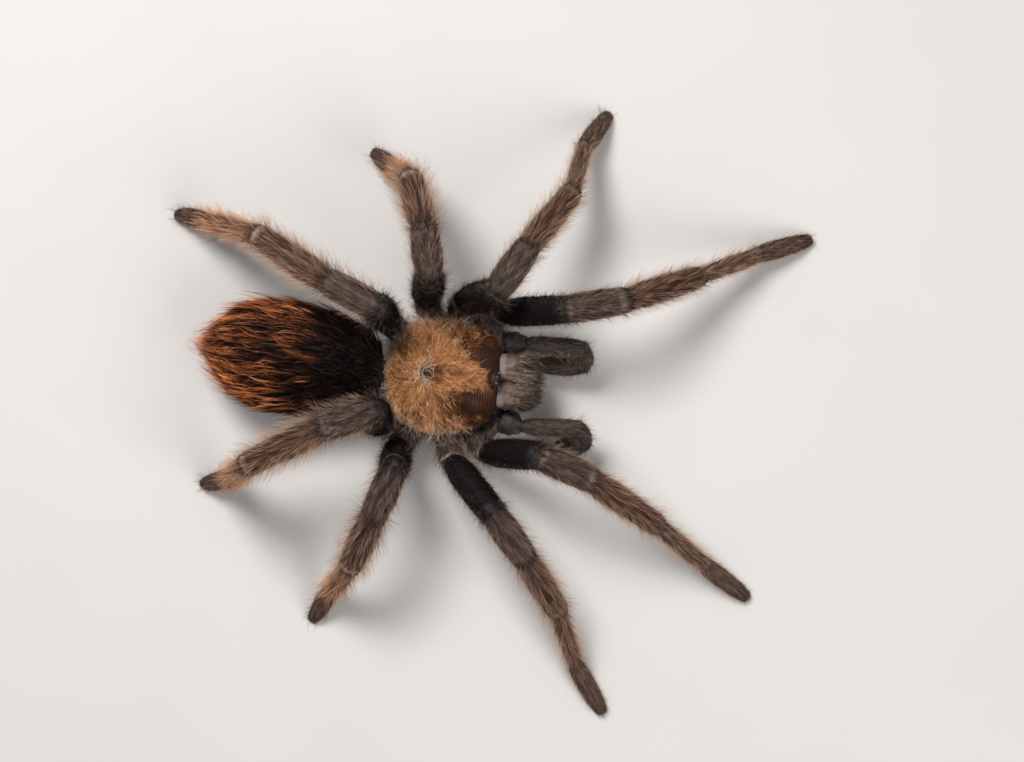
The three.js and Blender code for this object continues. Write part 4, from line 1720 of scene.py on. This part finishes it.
# ------ the shell and the eyes
@dataclass
class Shell(Surface):
    """The carapace: a rounded square plate, domed, with a pit and furrows."""

    pelt: Pelt = SHELL_PELT
    length: float = 16.6
    width: float = 16.6
    front_length: float = 9.1  # mm ahead of the middle to where the sides would meet
    front_cut: float = 8.4  # mm ahead of the middle to the straight front edge
    squareness: float = 3.0
    rear_squareness: float = 2.5
    front_narrowing: float = 0.28
    bottom: float = 8.9
    edge: float = 0.7
    rise: float = 3.3
    head_rise: float = 0.8
    pit: tuple[float, float] = (-2.8, 0.3)
    pit_depth: float = 1.3
    furrow_depth: float = 0.28
    furrows: tuple[float, ...] = (0.5, 1.15, 1.85, 2.5)  # angles from the head, in radians
    bald_right: tuple[float, float, float, float] = (5.6, -3.6, 3.1, 2.3)  # x, y, half sizes
    bald_left: tuple[float, float, float, float] = (6.6, 3.2, 2.7, 2.3)
    bald_front: tuple[float, float] = (7.0, 4.6)  # mm ahead of the middle, and to either side
    # colour of the rubbed bare patches, also laid on the pit as painted shade
    worn_and_pit_shade_colour: str = "#25140a"
    hairy: tuple[float, float] = (0.07, 1.0)

    def __post_init__(self) -> None:
        """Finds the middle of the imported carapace."""
        self.middle = plan_middle("carapace")

    def outline(self, angle: Array) -> tuple[Array, Array]:
        """Finds the plate's edge.

        Args:
            angle: Angles counted from the head.

        Returns:
            Millimetres ahead of the plate's middle and to its left.
        """
        cosine, sine = np.cos(angle), np.sin(angle)
        half_width = self.width / 2 * (1 - self.front_narrowing * np.maximum(0, cosine) ** 2)
        forward = cosine > 0
        power = np.where(forward, self.squareness, self.rear_squareness)
        half_length = np.where(forward, self.front_length, self.length / 2)
        radius = (np.abs(cosine / half_length) ** power + np.abs(sine / half_width) ** power) ** (-1 / power)
        return np.minimum(radius * cosine, self.front_cut), radius * sine

    def height(self, x: Array, y: Array, share: Array, angle: Array) -> Array:
        """Finds the height of the plate's top, furrows and pit taken in.

        Args:
            x: Millimetres ahead of the plate's middle.
            y: Millimetres to its left.
            share: Shares from pit to edge.
            angle: Angles counted from the head.

        Returns:
            Heights in millimetres.
        """
        steepness = 2.1 + 14 * np.maximum(0, np.cos(angle)) ** 5
        head = self.head_rise * np.exp(-(((x - 0.25 * self.length) / 4) ** 2) - (y / 3.4) ** 2)
        dome = (self.rise + head) * (1 - np.clip(share, 0, 1) ** steepness)
        lines = sum(bump(np.abs(turned(angle, 0)), at, 0.1) for at in self.furrows)
        furrow = self.furrow_depth * lines * ramp(share, 0.08, 0.35) * (1 - ramp(share, 0.7, 0.95))
        pit = self.pit_depth * bump(share, 0, 0.12)
        return self.bottom + self.edge + dome - furrow - pit - self.pelt.depth

    def point(self, share: Array, angle: Array) -> Array:
        """Reads the plate's top.

        Args:
            share: Shares from pit to edge.
            angle: Angles counted from the head.

        Returns:
            Points in millimetres.
        """
        edge_x, edge_y = self.outline(angle)
        x = self.pit[0] + share * (edge_x - self.pit[0])
        y = self.pit[1] + share * (edge_y - self.pit[1])
        return np.stack([x, y, self.height(x, y, share, angle)], axis=1) + self.middle

    def outward(self) -> float:
        """Returns the sign that turns the plate's normals upwards."""
        return -1.0

    def bare(self, share: Array, angle: Array, points: Array) -> Array:
        """Finds how bare each place is: the two rubbed patches and the eyes' surround are.

        Args:
            share: Shares from pit to edge.
            angle: Angles counted from the head.
            points: The places in millimetres.

        Returns:
            0 where hair grows to 1 where none does.
        """
        local = points - self.middle
        worn = np.zeros(len(share))
        for x, y, half_x, half_y in (self.bald_right, self.bald_left):
            reach = np.abs((local[:, 0] - x) / half_x) ** 2.6 + np.abs((local[:, 1] - y) / half_y) ** 2.6
            ragged = (0.6 if y > 0 else 0.4) * (mottle(points, 1.1, 3) - 0.5)
            worn = np.maximum(worn, 1 - ramp(reach ** (1 / 2.6) + ragged, 0.7, 1.12))
        ahead, aside = self.bald_front
        strip = ramp(local[:, 0], ahead, ahead + 0.5) * (1 - ramp(np.abs(local[:, 1]), aside, aside + 0.6))
        eyes = np.hypot((local[:, 0] - 7.4) / 1.3, local[:, 1] / 1.6)
        return np.maximum(np.maximum(worn, strip), 1 - ramp(eyes, 0.95, 1.1))

    def room(self, share: Array, angle: Array) -> Array:
        """Finds how far hair may lie before it would cover a rubbed patch or hang over the edge.

        Args:
            share: Shares from pit to edge.
            angle: Angles counted from the head.

        Returns:
            Lengths in millimetres.
        """
        free = np.clip((1 - share) * 0.48 * self.length + 0.3, 0.1, 3.0)
        limit = 0.72 + 0.9 * (mottle(self.point(share, angle), 0.45, 41) - 0.5)
        for ahead in (1.5, 1.25, 1.0, 0.8, 0.6, 0.45, 0.3, 0.15):
            beyond = share + ahead / (0.45 * self.length)
            worn = self.bare(beyond, angle, self.point(beyond, angle)) > limit
            free[worn] = np.minimum(free[worn], ahead - 0.1)
        return np.maximum(free, 0.1)

    def build(self, chitin: Material) -> None:
        """Makes the plate with its rolled edge and its underside.

        Args:
            chitin: The plate's material.
        """

        def place(around: Array, along: Array) -> Array:
            """Finds the form's points.

            Args:
                around: Shares round it.
                along: Shares from pole to pole.

            Returns:
                Points in millimetres.
            """
            angle = around * FULL_TURN
            share = np.clip(along / 0.78, 0, 1)
            top = self.point(np.minimum(share, 0.985), angle)
            roll = np.clip((along - 0.78) / 0.08, 0, 1)
            under = np.clip((along - 0.86) / 0.14, 0, 1)
            edge_x, edge_y = self.outline(angle)
            rim = 0.97 - 0.02 * roll + 0.015 * np.sin(roll * math.pi)
            inward = np.where(along > 0.78, rim * (1 - under), share)
            x = self.pit[0] + inward * (edge_x - self.pit[0])
            y = self.pit[1] + inward * (edge_y - self.pit[1])
            rim_top = self.bottom + self.edge - self.pelt.depth
            low = rim_top - 0.45 * roll + 0.6 * under
            below = np.stack([x, y, low], axis=1) + self.middle
            return np.where((along > 0.78)[:, None], below, top)

        piece = wrapped("carapace_plate", 144, 92, place)
        points = points_of(piece)
        local = points - self.middle
        angle = np.arctan2(local[:, 1] - self.pit[1], local[:, 0] - self.pit[0])
        edge_x, edge_y = self.outline(angle)
        share = np.hypot(local[:, 0] - self.pit[0], local[:, 1] - self.pit[1]) / np.hypot(
            edge_x - self.pit[0], edge_y - self.pit[1]
        )
        marked = self.pelt.marker(share, angle, points)
        colours = blend(
            np.tile(linear(self.pelt.skin), (len(points), 1)), np.array(linear(self.pelt.marked_skin)), marked
        )
        worn = self.bare(share, angle, points)
        # the pit is darkened with the same colour: painted shade in the recess
        pit_shade = bump(share, 0, 0.1)
        colours = blend(colours, np.array(linear(self.worn_and_pit_shade_colour)), np.maximum(worn, pit_shade))
        to_metres(piece)
        paint(piece, colours)
        layer = piece.data.attributes.new(BALD_LAYER, "FLOAT", "POINT")
        ribbed = worn * (1 - 0.75 * ramp(local[:, 1], 0.2, 1.2)) * ramp(local[:, 0], 3.0, 5.4)
        layer.data.foreach_set("value", ribbed.astype(np.float32))
        dressed(piece, chitin, ("carapace",))

    def dress(self, hair: Material) -> None:
        """Grows the copper plush and the paler fringe along the edge.

        Args:
            hair: The hair's material.
        """
        coat = Coat("carapace_plush", 91)
        coat.grow(self, Chart(0.01, 0.85))
        coat.grow(ShellZone(self, MARGIN_PELT, (0.84, 0.985), True), Chart(0.87, 0.99))
        coat.grow(ShellZone(self, PIT_PELT, (0.03, 0.19), True), Chart(0.87, 0.99))
        coat.finish(hair, "copper_plush")


@dataclass
class ShellZone(Surface):
    """A part of the shell's top that carries hair of its own."""

    shell: Shell
    pelt: Pelt
    hairy: tuple[float, float]
    fades_forward: bool = False

    def outward(self) -> float:
        """Returns the sign that turns the plate's normals upwards."""
        return -1.0

    def point(self, share: Array, angle: Array) -> Array:
        """Returns points of the shell's top."""
        return self.shell.point(share, angle)

    def bare(self, share: Array, angle: Array, points: Array) -> Array:
        """Returns 1 where the shell is bald, and towards the head if the zone fades there."""
        bald = self.shell.bare(share, angle, points)
        return np.maximum(ramp(np.cos(angle), 0.1, 0.6), bald) if self.fades_forward else bald


@dataclass
class Eyes:
    """The eye mound in front of the shell's dome with its eight eyes."""

    half_length: float = 0.94
    half_width: float = 1.42
    base: float = 11.3
    top: float = 13.8
    pairs: tuple[tuple[float, float, float], ...] = (
        (0.30, 0.44, 0.27),  # front middle pair: share forward, sideways, radius in mm
        (0.62, 1.02, 0.26),
        (-0.52, 1.02, 0.22),
        (-0.45, 0.66, 0.15),
    )

    def __post_init__(self) -> None:
        """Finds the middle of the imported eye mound."""
        self.middle = plan_middle("eye_mound")

    def crown(self, forward: Array, sideways: Array) -> Array:
        """Returns the height of the mound's rounded top over places on it."""
        reach = np.hypot(forward / self.half_length, sideways / self.half_width)
        return self.base + (self.top - self.base) * np.maximum(0, 1 - np.clip(reach, 0, 1) ** 3.2) ** 0.5

    def build(self, cuticle: Material, lens: Material) -> None:
        """Makes the mound and the eyes.

        Args:
            cuticle: The mound's material.
            lens: The eyes' material.
        """

        def place(around: Array, along: Array) -> Array:
            """Finds the form's points.

            Args:
                around: Shares round it.
                along: Shares from pole to pole.

            Returns:
                Points in millimetres.
            """
            angle = around * FULL_TURN
            reach = np.where(along < 0.75, np.sin(np.clip(along / 0.75, 0, 1) * DORSAL), (1 - along) / 0.25)
            x = reach * self.half_length * np.cos(angle)
            y = reach * self.half_width * np.sin(angle)
            z = np.where(along < 0.75, self.crown(x, y), self.base - 0.4)
            return np.stack([x, y, z], axis=1) + self.middle

        mound = to_metres(wrapped("eye_mound_cuticle", 48, 36, place))
        dressed(mound, cuticle, ("eye_mound",))
        lenses = []
        for forward, sideways, radius in self.pairs:
            for sign in (1, -1):
                lenses.append(self.lens(forward, sign * sideways, radius))
        dressed(to_metres(joined("eyes", lenses)), lens)

    def lens(self, forward: float, sideways: float, radius: float) -> Piece:
        """Makes one eye, sunk a little over half into the mound.

        Args:
            forward: Millimetres in front of the mound's middle.
            sideways: Millimetres to its left.
            radius: The eye's radius in millimetres.

        Returns:
            The eye in millimetres.
        """
        height = float(self.crown(np.array([forward]), np.array([sideways]))[0])
        bm = bmesh.new()
        bmesh.ops.create_uvsphere(bm, u_segments=20, v_segments=12, radius=radius)
        place = self.middle + np.array([forward * 1.02, sideways * 1.02, height - 0.1 * radius])
        bmesh.ops.translate(bm, vec=tuple(place), verts=bm.verts)
        return object_from("eye", bm)


@dataclass
class Core:
    """The flesh between the shell, the sternum and the roots of the legs."""

    levels: tuple[float, ...] = (4.75, 5.2, 6.2, 7.3, 8.4, 9.2, 9.7)  # mm above the floor
    half_lengths: tuple[float, ...] = (2.6, 3.6, 4.0, 4.8, 6.9, 7.5, 7.2)
    half_widths: tuple[float, ...] = (2.4, 3.2, 3.6, 4.8, 6.9, 7.5, 7.2)

    def __post_init__(self) -> None:
        """Stacks the core's levels over the middle of the sternum."""
        middle = plan_middle("sternum")
        levels, ahead, aside = np.array(self.levels), np.array([1.0, 0.0, 0.0]), np.array([0.0, 1.0, 0.0])
        centres = middle + levels[:, None] * np.array([0.0, 0.0, 1.0])
        knots = (levels - levels[0]) / (levels[-1] - levels[0])
        wide, long = np.array(self.half_widths), np.array(self.half_lengths)
        self.loft = Loft(
            "core", CORE_PELT, knots, centres, wide, long, aside, ahead,
            caps=(0.03, 0.05), hairy=(0.0, 0.95), sides=64, rings=30,
        )

    def lofts(self) -> list[Loft]:
        """Returns the core's form."""
        return [self.loft]

    def dress(self, hair: Material, waist: Loft) -> None:
        """Grows the hair round the core and the waist.

        Args:
            hair: The hair's material.
            waist: The waist's form.
        """
        coat = Coat("underside_hair", 85)
        coat.grow(self.loft, Chart(high=0.9))
        coat.grow(waist, Chart(low=0.92))
        coat.finish(hair, "black_velvet")


# ------ the skin
@dataclass
class Skin:
    """One skin over all the flesh, painted with the same markings as the coat."""

    lofts: list[Loft]
    crease: float = 42.0  # degrees from which an edge between two faces stays sharp

    def build(self, material: Material, nodes: tuple[str, ...]) -> None:
        """Fuses the forms and paints them.

        Args:
            material: The skin's material.
            nodes: The solids of flesh that it replaces.
        """
        piece = fused("skin", [loft.build() for loft in self.lofts])
        points = points_of(piece)
        colours = self.colours(points)
        to_metres(piece)
        piece.data.set_sharp_from_angle(angle=math.radians(self.crease))
        paint(piece, colours)
        dressed(piece, material, nodes)

    def colours(self, points: Array) -> Array:
        """Finds the skin's colour from the form that each point lies on.

        Args:
            points: The skin's points in millimetres.

        Returns:
            One linear colour a row.
        """
        best = np.full(len(points), np.inf)
        colours = np.zeros((len(points), 3))
        for loft in self.lofts:
            near, share, angle = loft.nearness(points)
            mine = near < best
            if not mine.any():
                continue
            best[mine] = near[mine]
            colours[mine] = self.form_colours(loft, share[mine], angle[mine], points[mine])
        return colours

    def form_colours(self, loft: Loft, share: Array, angle: Array, points: Array) -> Array:
        """Colours one form: its marking, painted shade where it starts, a foot's darker pad, and its paler bare rims.

        Args:
            loft: The form.
            share: Shares along it.
            angle: Angles round it.
            points: The points in millimetres.

        Returns:
            One linear colour a row.
        """
        pelt = loft.pelt
        base = np.tile(linear(pelt.skin), (len(points), 1))
        mixed = blend(base, np.array(linear(pelt.marked_skin)), pelt.marker(share, angle, points))
        # painted shade where the form starts, and a foot's darker pad
        mixed = mixed * loft.shade(share)[:, None]
        return blend(mixed, np.array(linear(pelt.rim)), loft.bare(share, angle, points))


# ------ materials
class Recipe:
    """A material in the making, with the steps that the finishes share."""

    def __init__(self, name: str) -> None:
        """Starts a material with its main shader.

        Args:
            name: The material's name.
        """
        self.material = bpy.data.materials.new(name)
        self.material.use_nodes = True
        self.tree = self.material.node_tree
        self.tree.nodes.clear()
        self.shader = self.add("ShaderNodeBsdfPrincipled")
        self.add("ShaderNodeOutputMaterial", links={"Surface": self.shader.outputs["BSDF"]})
        self.where = self.add("ShaderNodeTexCoord").outputs["Object"]

    def add(
        self,
        kind: str,
        values: dict[str | int, object] | None = None,
        links: dict[str | int, Socket] | None = None,
        **settings: object,
    ) -> bpy.types.Node:
        """Adds a node with its settings, socket values and links.

        Args:
            kind: The node's type name.
            values: Values for its sockets.
            links: Sockets that feed its sockets.
            **settings: The node's own properties.

        Returns:
            The new node.
        """
        node = self.tree.nodes.new(kind)
        for key, value in settings.items():
            setattr(node, key, value)
        for key, value in (values or {}).items():
            node.inputs[key].default_value = value
        for key, socket in (links or {}).items():
            self.tree.links.new(socket, node.inputs[key])
        return node

    def layer(self, name: str) -> bpy.types.Node:
        """Returns a node that reads one of the mesh's layers."""
        return self.add("ShaderNodeAttribute", attribute_name=name)

    def noise(self, size_mm: float, detail: float = 2.0, roughness: float = 0.5) -> Socket:
        """Makes cloudy patches.

        Args:
            size_mm: Rough width of a patch.
            detail: How many finer layers lie in it.
            roughness: How strong those layers are.

        Returns:
            The patches' strength, 0 to 1.
        """
        values = {"Scale": 1 / (size_mm * MM), "Detail": detail, "Roughness": roughness}
        return self.add("ShaderNodeTexNoise", values, {"Vector": self.where}).outputs["Fac"]

    def spread(self, strength: Socket, to: tuple[float, float], cut: float = 0.0) -> Socket:
        """Stretches a strength over a range.

        Args:
            strength: Values from 0 to 1.
            to: The range they are stretched over.
            cut: How much is cut off first at each end.

        Returns:
            The stretched strength.
        """
        values = {"From Min": cut, "From Max": 1 - cut, "To Min": to[0], "To Max": to[1]}
        return self.add("ShaderNodeMapRange", values, {"Value": strength}).outputs["Result"]

    def tint(self, colour: Socket | tuple[float, ...], light: Socket) -> None:
        """Gives the shader a colour that is lighter and darker in places.

        Args:
            colour: One colour, or where to read it.
            light: Factor on it.
        """
        fixed = isinstance(colour, tuple)
        links = {1: light} if fixed else {0: colour, 1: light}
        product = self.add("ShaderNodeVectorMath", {0: colour} if fixed else None, links, operation="MULTIPLY")
        self.tree.links.new(product.outputs["Vector"], self.shader.inputs["Base Color"])

    def relief(self, height: Socket, strength: float, depth_mm: float) -> None:
        """Gives the shader a fine relief.

        Args:
            height: Where it is high, 0 to 1.
            strength: How much of it shows.
            depth_mm: Its depth.
        """
        node = self.add("ShaderNodeBump", {"Strength": strength, "Distance": depth_mm * MM}, {"Height": height})
        self.tree.links.new(node.outputs["Normal"], self.shader.inputs["Normal"])

    def done(self, roughness: float | Socket, specular: float = 0.5, coat: float = 0.0) -> Material:
        """Sets how the surface shines.

        Args:
            roughness: One value, or where to read it.
            specular: Strength of its reflections.
            coat: Strength of a clear layer over it.

        Returns:
            The material.
        """
        if isinstance(roughness, float):
            self.shader.inputs["Roughness"].default_value = roughness
        else:
            self.tree.links.new(roughness, self.shader.inputs["Roughness"])
        self.shader.inputs["Specular IOR Level"].default_value = specular
        self.shader.inputs["Coat Weight"].default_value = coat
        return self.material


@dataclass(frozen=True)
class SetaFinish:
    """Setae, grown hair of chitin: dull, its colour uneven."""

    roughness: float = 0.5
    specular: float = 0.09  # faint, so that the coat looks soft and not wet
    grain_mm: float = 0.4  # width of the uneven patches
    light: tuple[float, float] = (0.75, 1.25)  # factor on the colour, which breaks up the tufts

    def make(self) -> Material:
        """Makes the material.

        Returns:
            The material of all the hair.
        """
        made = Recipe("chitin_setae_grown")
        uneven = made.spread(made.noise(self.grain_mm, 3.0), self.light, 0.3)
        made.tint(made.layer(COLOUR_LAYER).outputs["Color"], uneven)
        return made.done(self.roughness, self.specular)


@dataclass(frozen=True)
class SkinFinish:
    """Cuticle between the hairs: tough, matt and finely wrinkled."""

    roughness: float = 0.62
    specular: float = 0.25
    wrinkle_mm: float = 0.18
    wrinkle_depth: float = 0.08  # mm, which roughens the light where the coat is thin
    patch_mm: float = 1.6  # width of the uneven patches
    light: tuple[float, float] = (0.75, 1.25)

    def make(self) -> Material:
        """Makes the material.

        Returns:
            The skin's material.
        """
        made = Recipe("cuticle_wrinkled")
        made.tint(made.layer(COLOUR_LAYER).outputs["Color"], made.spread(made.noise(self.patch_mm), self.light, 0.3))
        made.relief(made.noise(self.wrinkle_mm, 4.0, 0.6), 0.5, self.wrinkle_depth)
        return made.done(self.roughness, self.specular)


@dataclass(frozen=True)
class ShellFinish:
    """Carapace cuticle: dull under the plush, smoother and finely ribbed where it is rubbed bare."""

    rib_mm: float = 0.38  # one rib to the next on the bare patches, drawn coarse so that they show
    rib_depth: float = 0.05  # mm
    light: tuple[float, float] = (0.6, 2.9)  # factor on the colour from groove to rib: painted highlight on the worn rib tops, painted shade in the grooves
    roughness: tuple[float, float] = (0.65, 0.5)  # under the plush, and rubbed bare
    specular: float = 0.12

    def make(self) -> Material:
        """Makes the material.

        Returns:
            The shell's material.
        """
        made = Recipe("cuticle_carapace_rubbed")
        bald = made.layer(BALD_LAYER).outputs["Fac"]
        values = {"Scale": WAVE_BAND / (self.rib_mm * MM), "Distortion": 1.9, "Detail": 2.0, "Detail Scale": 0.6}
        ribs = made.add("ShaderNodeTexWave", values, {"Vector": made.where}, bands_direction="X")
        masked = made.add("ShaderNodeMath", links={0: ribs.outputs["Fac"], 1: bald}, operation="MULTIPLY")
        # painted highlight on the rib tops and painted shade in the grooves
        made.tint(made.layer(COLOUR_LAYER).outputs["Color"], made.spread(masked.outputs["Value"], self.light))
        made.relief(masked.outputs["Value"], 0.35, self.rib_depth)
        return made.done(made.spread(bald, self.roughness), self.specular)


@dataclass(frozen=True)
class ChitinFinish:
    """Thick dark chitin: smooth and hard, a shade browner in patches, so that it does not look like plastic."""

    name: str
    dark: str
    brown: str
    roughness: float
    coat: float = 0.0
    specular: float = 0.5
    patch_mm: float = 0.6  # width of the browner patches
    dent_depth: float = 0.03  # mm

    def make(self) -> Material:
        """Makes the material.

        Returns:
            The chitin's material.
        """
        made = Recipe(self.name)
        noise = made.noise(self.patch_mm, 4.0)
        colours = {6: (*linear(self.dark), 1.0), 7: (*linear(self.brown), 1.0)}
        mix = made.add("ShaderNodeMix", colours, {0: noise}, data_type="RGBA")
        made.tree.links.new(mix.outputs[2], made.shader.inputs["Base Color"])
        made.relief(noise, 0.15, self.dent_depth)
        return made.done(self.roughness, self.specular, self.coat)


@dataclass(frozen=True)
class FloorFinish:
    """Matt pale studio board, faintly uneven."""

    colour: str = "#a7a39f"
    patch_mm: float = 25.0
    light: tuple[float, float] = (0.97, 1.03)

    def make(self) -> Material:
        """Makes the material.

        Returns:
            The floor's material.
        """
        made = Recipe("studio_board_matt")
        made.tint(linear(self.colour), made.spread(made.noise(self.patch_mm), self.light))
        return made.done(0.9)


# ------ the studio
@dataclass
class Studio:
    """Floor, light and camera."""

    camera_height: float = 500.0  # mm over the floor
    camera_shift: tuple[float, float] = (9.857, 0.142)  # mm from the carapace's middle
    heading: float = 5.0  # degrees that the picture's right lies off the body's axis
    lens: float = 119.3
    sky: float = 0.42
    key_watts: float = 2.3

    def build(self, middle: Array, board: Material) -> None:
        """Sets up the floor, the lights and the camera.

        Args:
            middle: Middle of the carapace in millimetres.
            board: The floor's material.
        """
        bpy.context.scene.view_settings.view_transform = "Standard"
        bm = bmesh.new()
        bmesh.ops.create_circle(bm, cap_ends=True, segments=96, radius=3.0)
        floor = object_from("studio_floor", bm)
        floor.data.materials.append(board)

        world = bpy.data.worlds.new("studio_sky")
        bpy.context.scene.world = world
        world.use_nodes = True
        background = world.node_tree.nodes["Background"]
        background.inputs["Color"].default_value = (*linear("#f4f6fa"), 1.0)
        background.inputs["Strength"].default_value = self.sky
        self.light("key_softbox", (-120.0, 160.0, 330.0), 130.0, self.key_watts)
        self.light("fill_softbox", (220.0, -160.0, 260.0), 240.0, 0.5 * self.key_watts)

        data = bpy.data.cameras.new("camera")
        data.lens, data.sensor_width = self.lens, 36.0
        data.clip_start, data.clip_end = 0.01, 20.0
        camera = linked("camera", data)
        x, y = middle[0] + self.camera_shift[0], middle[1] + self.camera_shift[1]
        camera.location = (x * MM, y * MM, self.camera_height * MM)
        camera.rotation_euler = (0, 0, math.radians(self.heading))
        bpy.context.scene.camera = camera

    def light(self, name: str, place: tuple[float, float, float], size: float, watts: float) -> None:
        """Hangs a square softbox that faces the middle of the floor.

        Args:
            name: The lamp's name.
            place: Its place in millimetres.
            size: Its side in millimetres.
            watts: Its power.
        """
        data = bpy.data.lights.new(name, "AREA")
        data.size, data.energy = size * MM, watts
        lamp = linked(name, data)
        at = np.array(place) * MM
        lamp.location = tuple(at)
        away = unit(at)
        lamp.rotation_euler = (math.acos(away[2]), 0, math.atan2(away[1], away[0]) + math.pi / 2)


def main() -> None:
    """Builds every piece in order and reports it."""
    logging.basicConfig(level=logging.INFO, format="%(name)s: %(message)s")
    hair = SetaFinish().make()
    chitin = ChitinFinish("chitin_polished", "#0b0706", "#2a1710", 0.22, 0.4).make()
    cuticle = ChitinFinish("cuticle_eye_mound", "#100907", "#34221b", 0.5, specular=0.12).make()
    lens = ChitinFinish("cornea_clear_over_black", "#050404", "#0c0a0a", 0.06, 1.0).make()

    legs, abdomen, jaws, core, shell = Legs(), Abdomen(), Jaws(), Core(), Shell()
    flesh = [*core.lofts(), *abdomen.lofts(), *jaws.lofts(), *legs.lofts()]
    kept = {"carapace", "eye_mound", "left_fang", "right_fang"}
    nodes = tuple(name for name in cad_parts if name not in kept)
    Skin(flesh).build(SkinFinish().make(), nodes)
    shell.build(ShellFinish().make())
    Eyes().build(cuticle, lens)
    jaws.build_fangs(chitin)
    shell.dress(hair)
    abdomen.dress(hair)
    jaws.dress(hair)
    core.dress(hair, abdomen.waist)
    legs.dress(hair)
    Studio().build(shell.middle, FloorFinish().make())


if __name__ == "__main__":
    main()
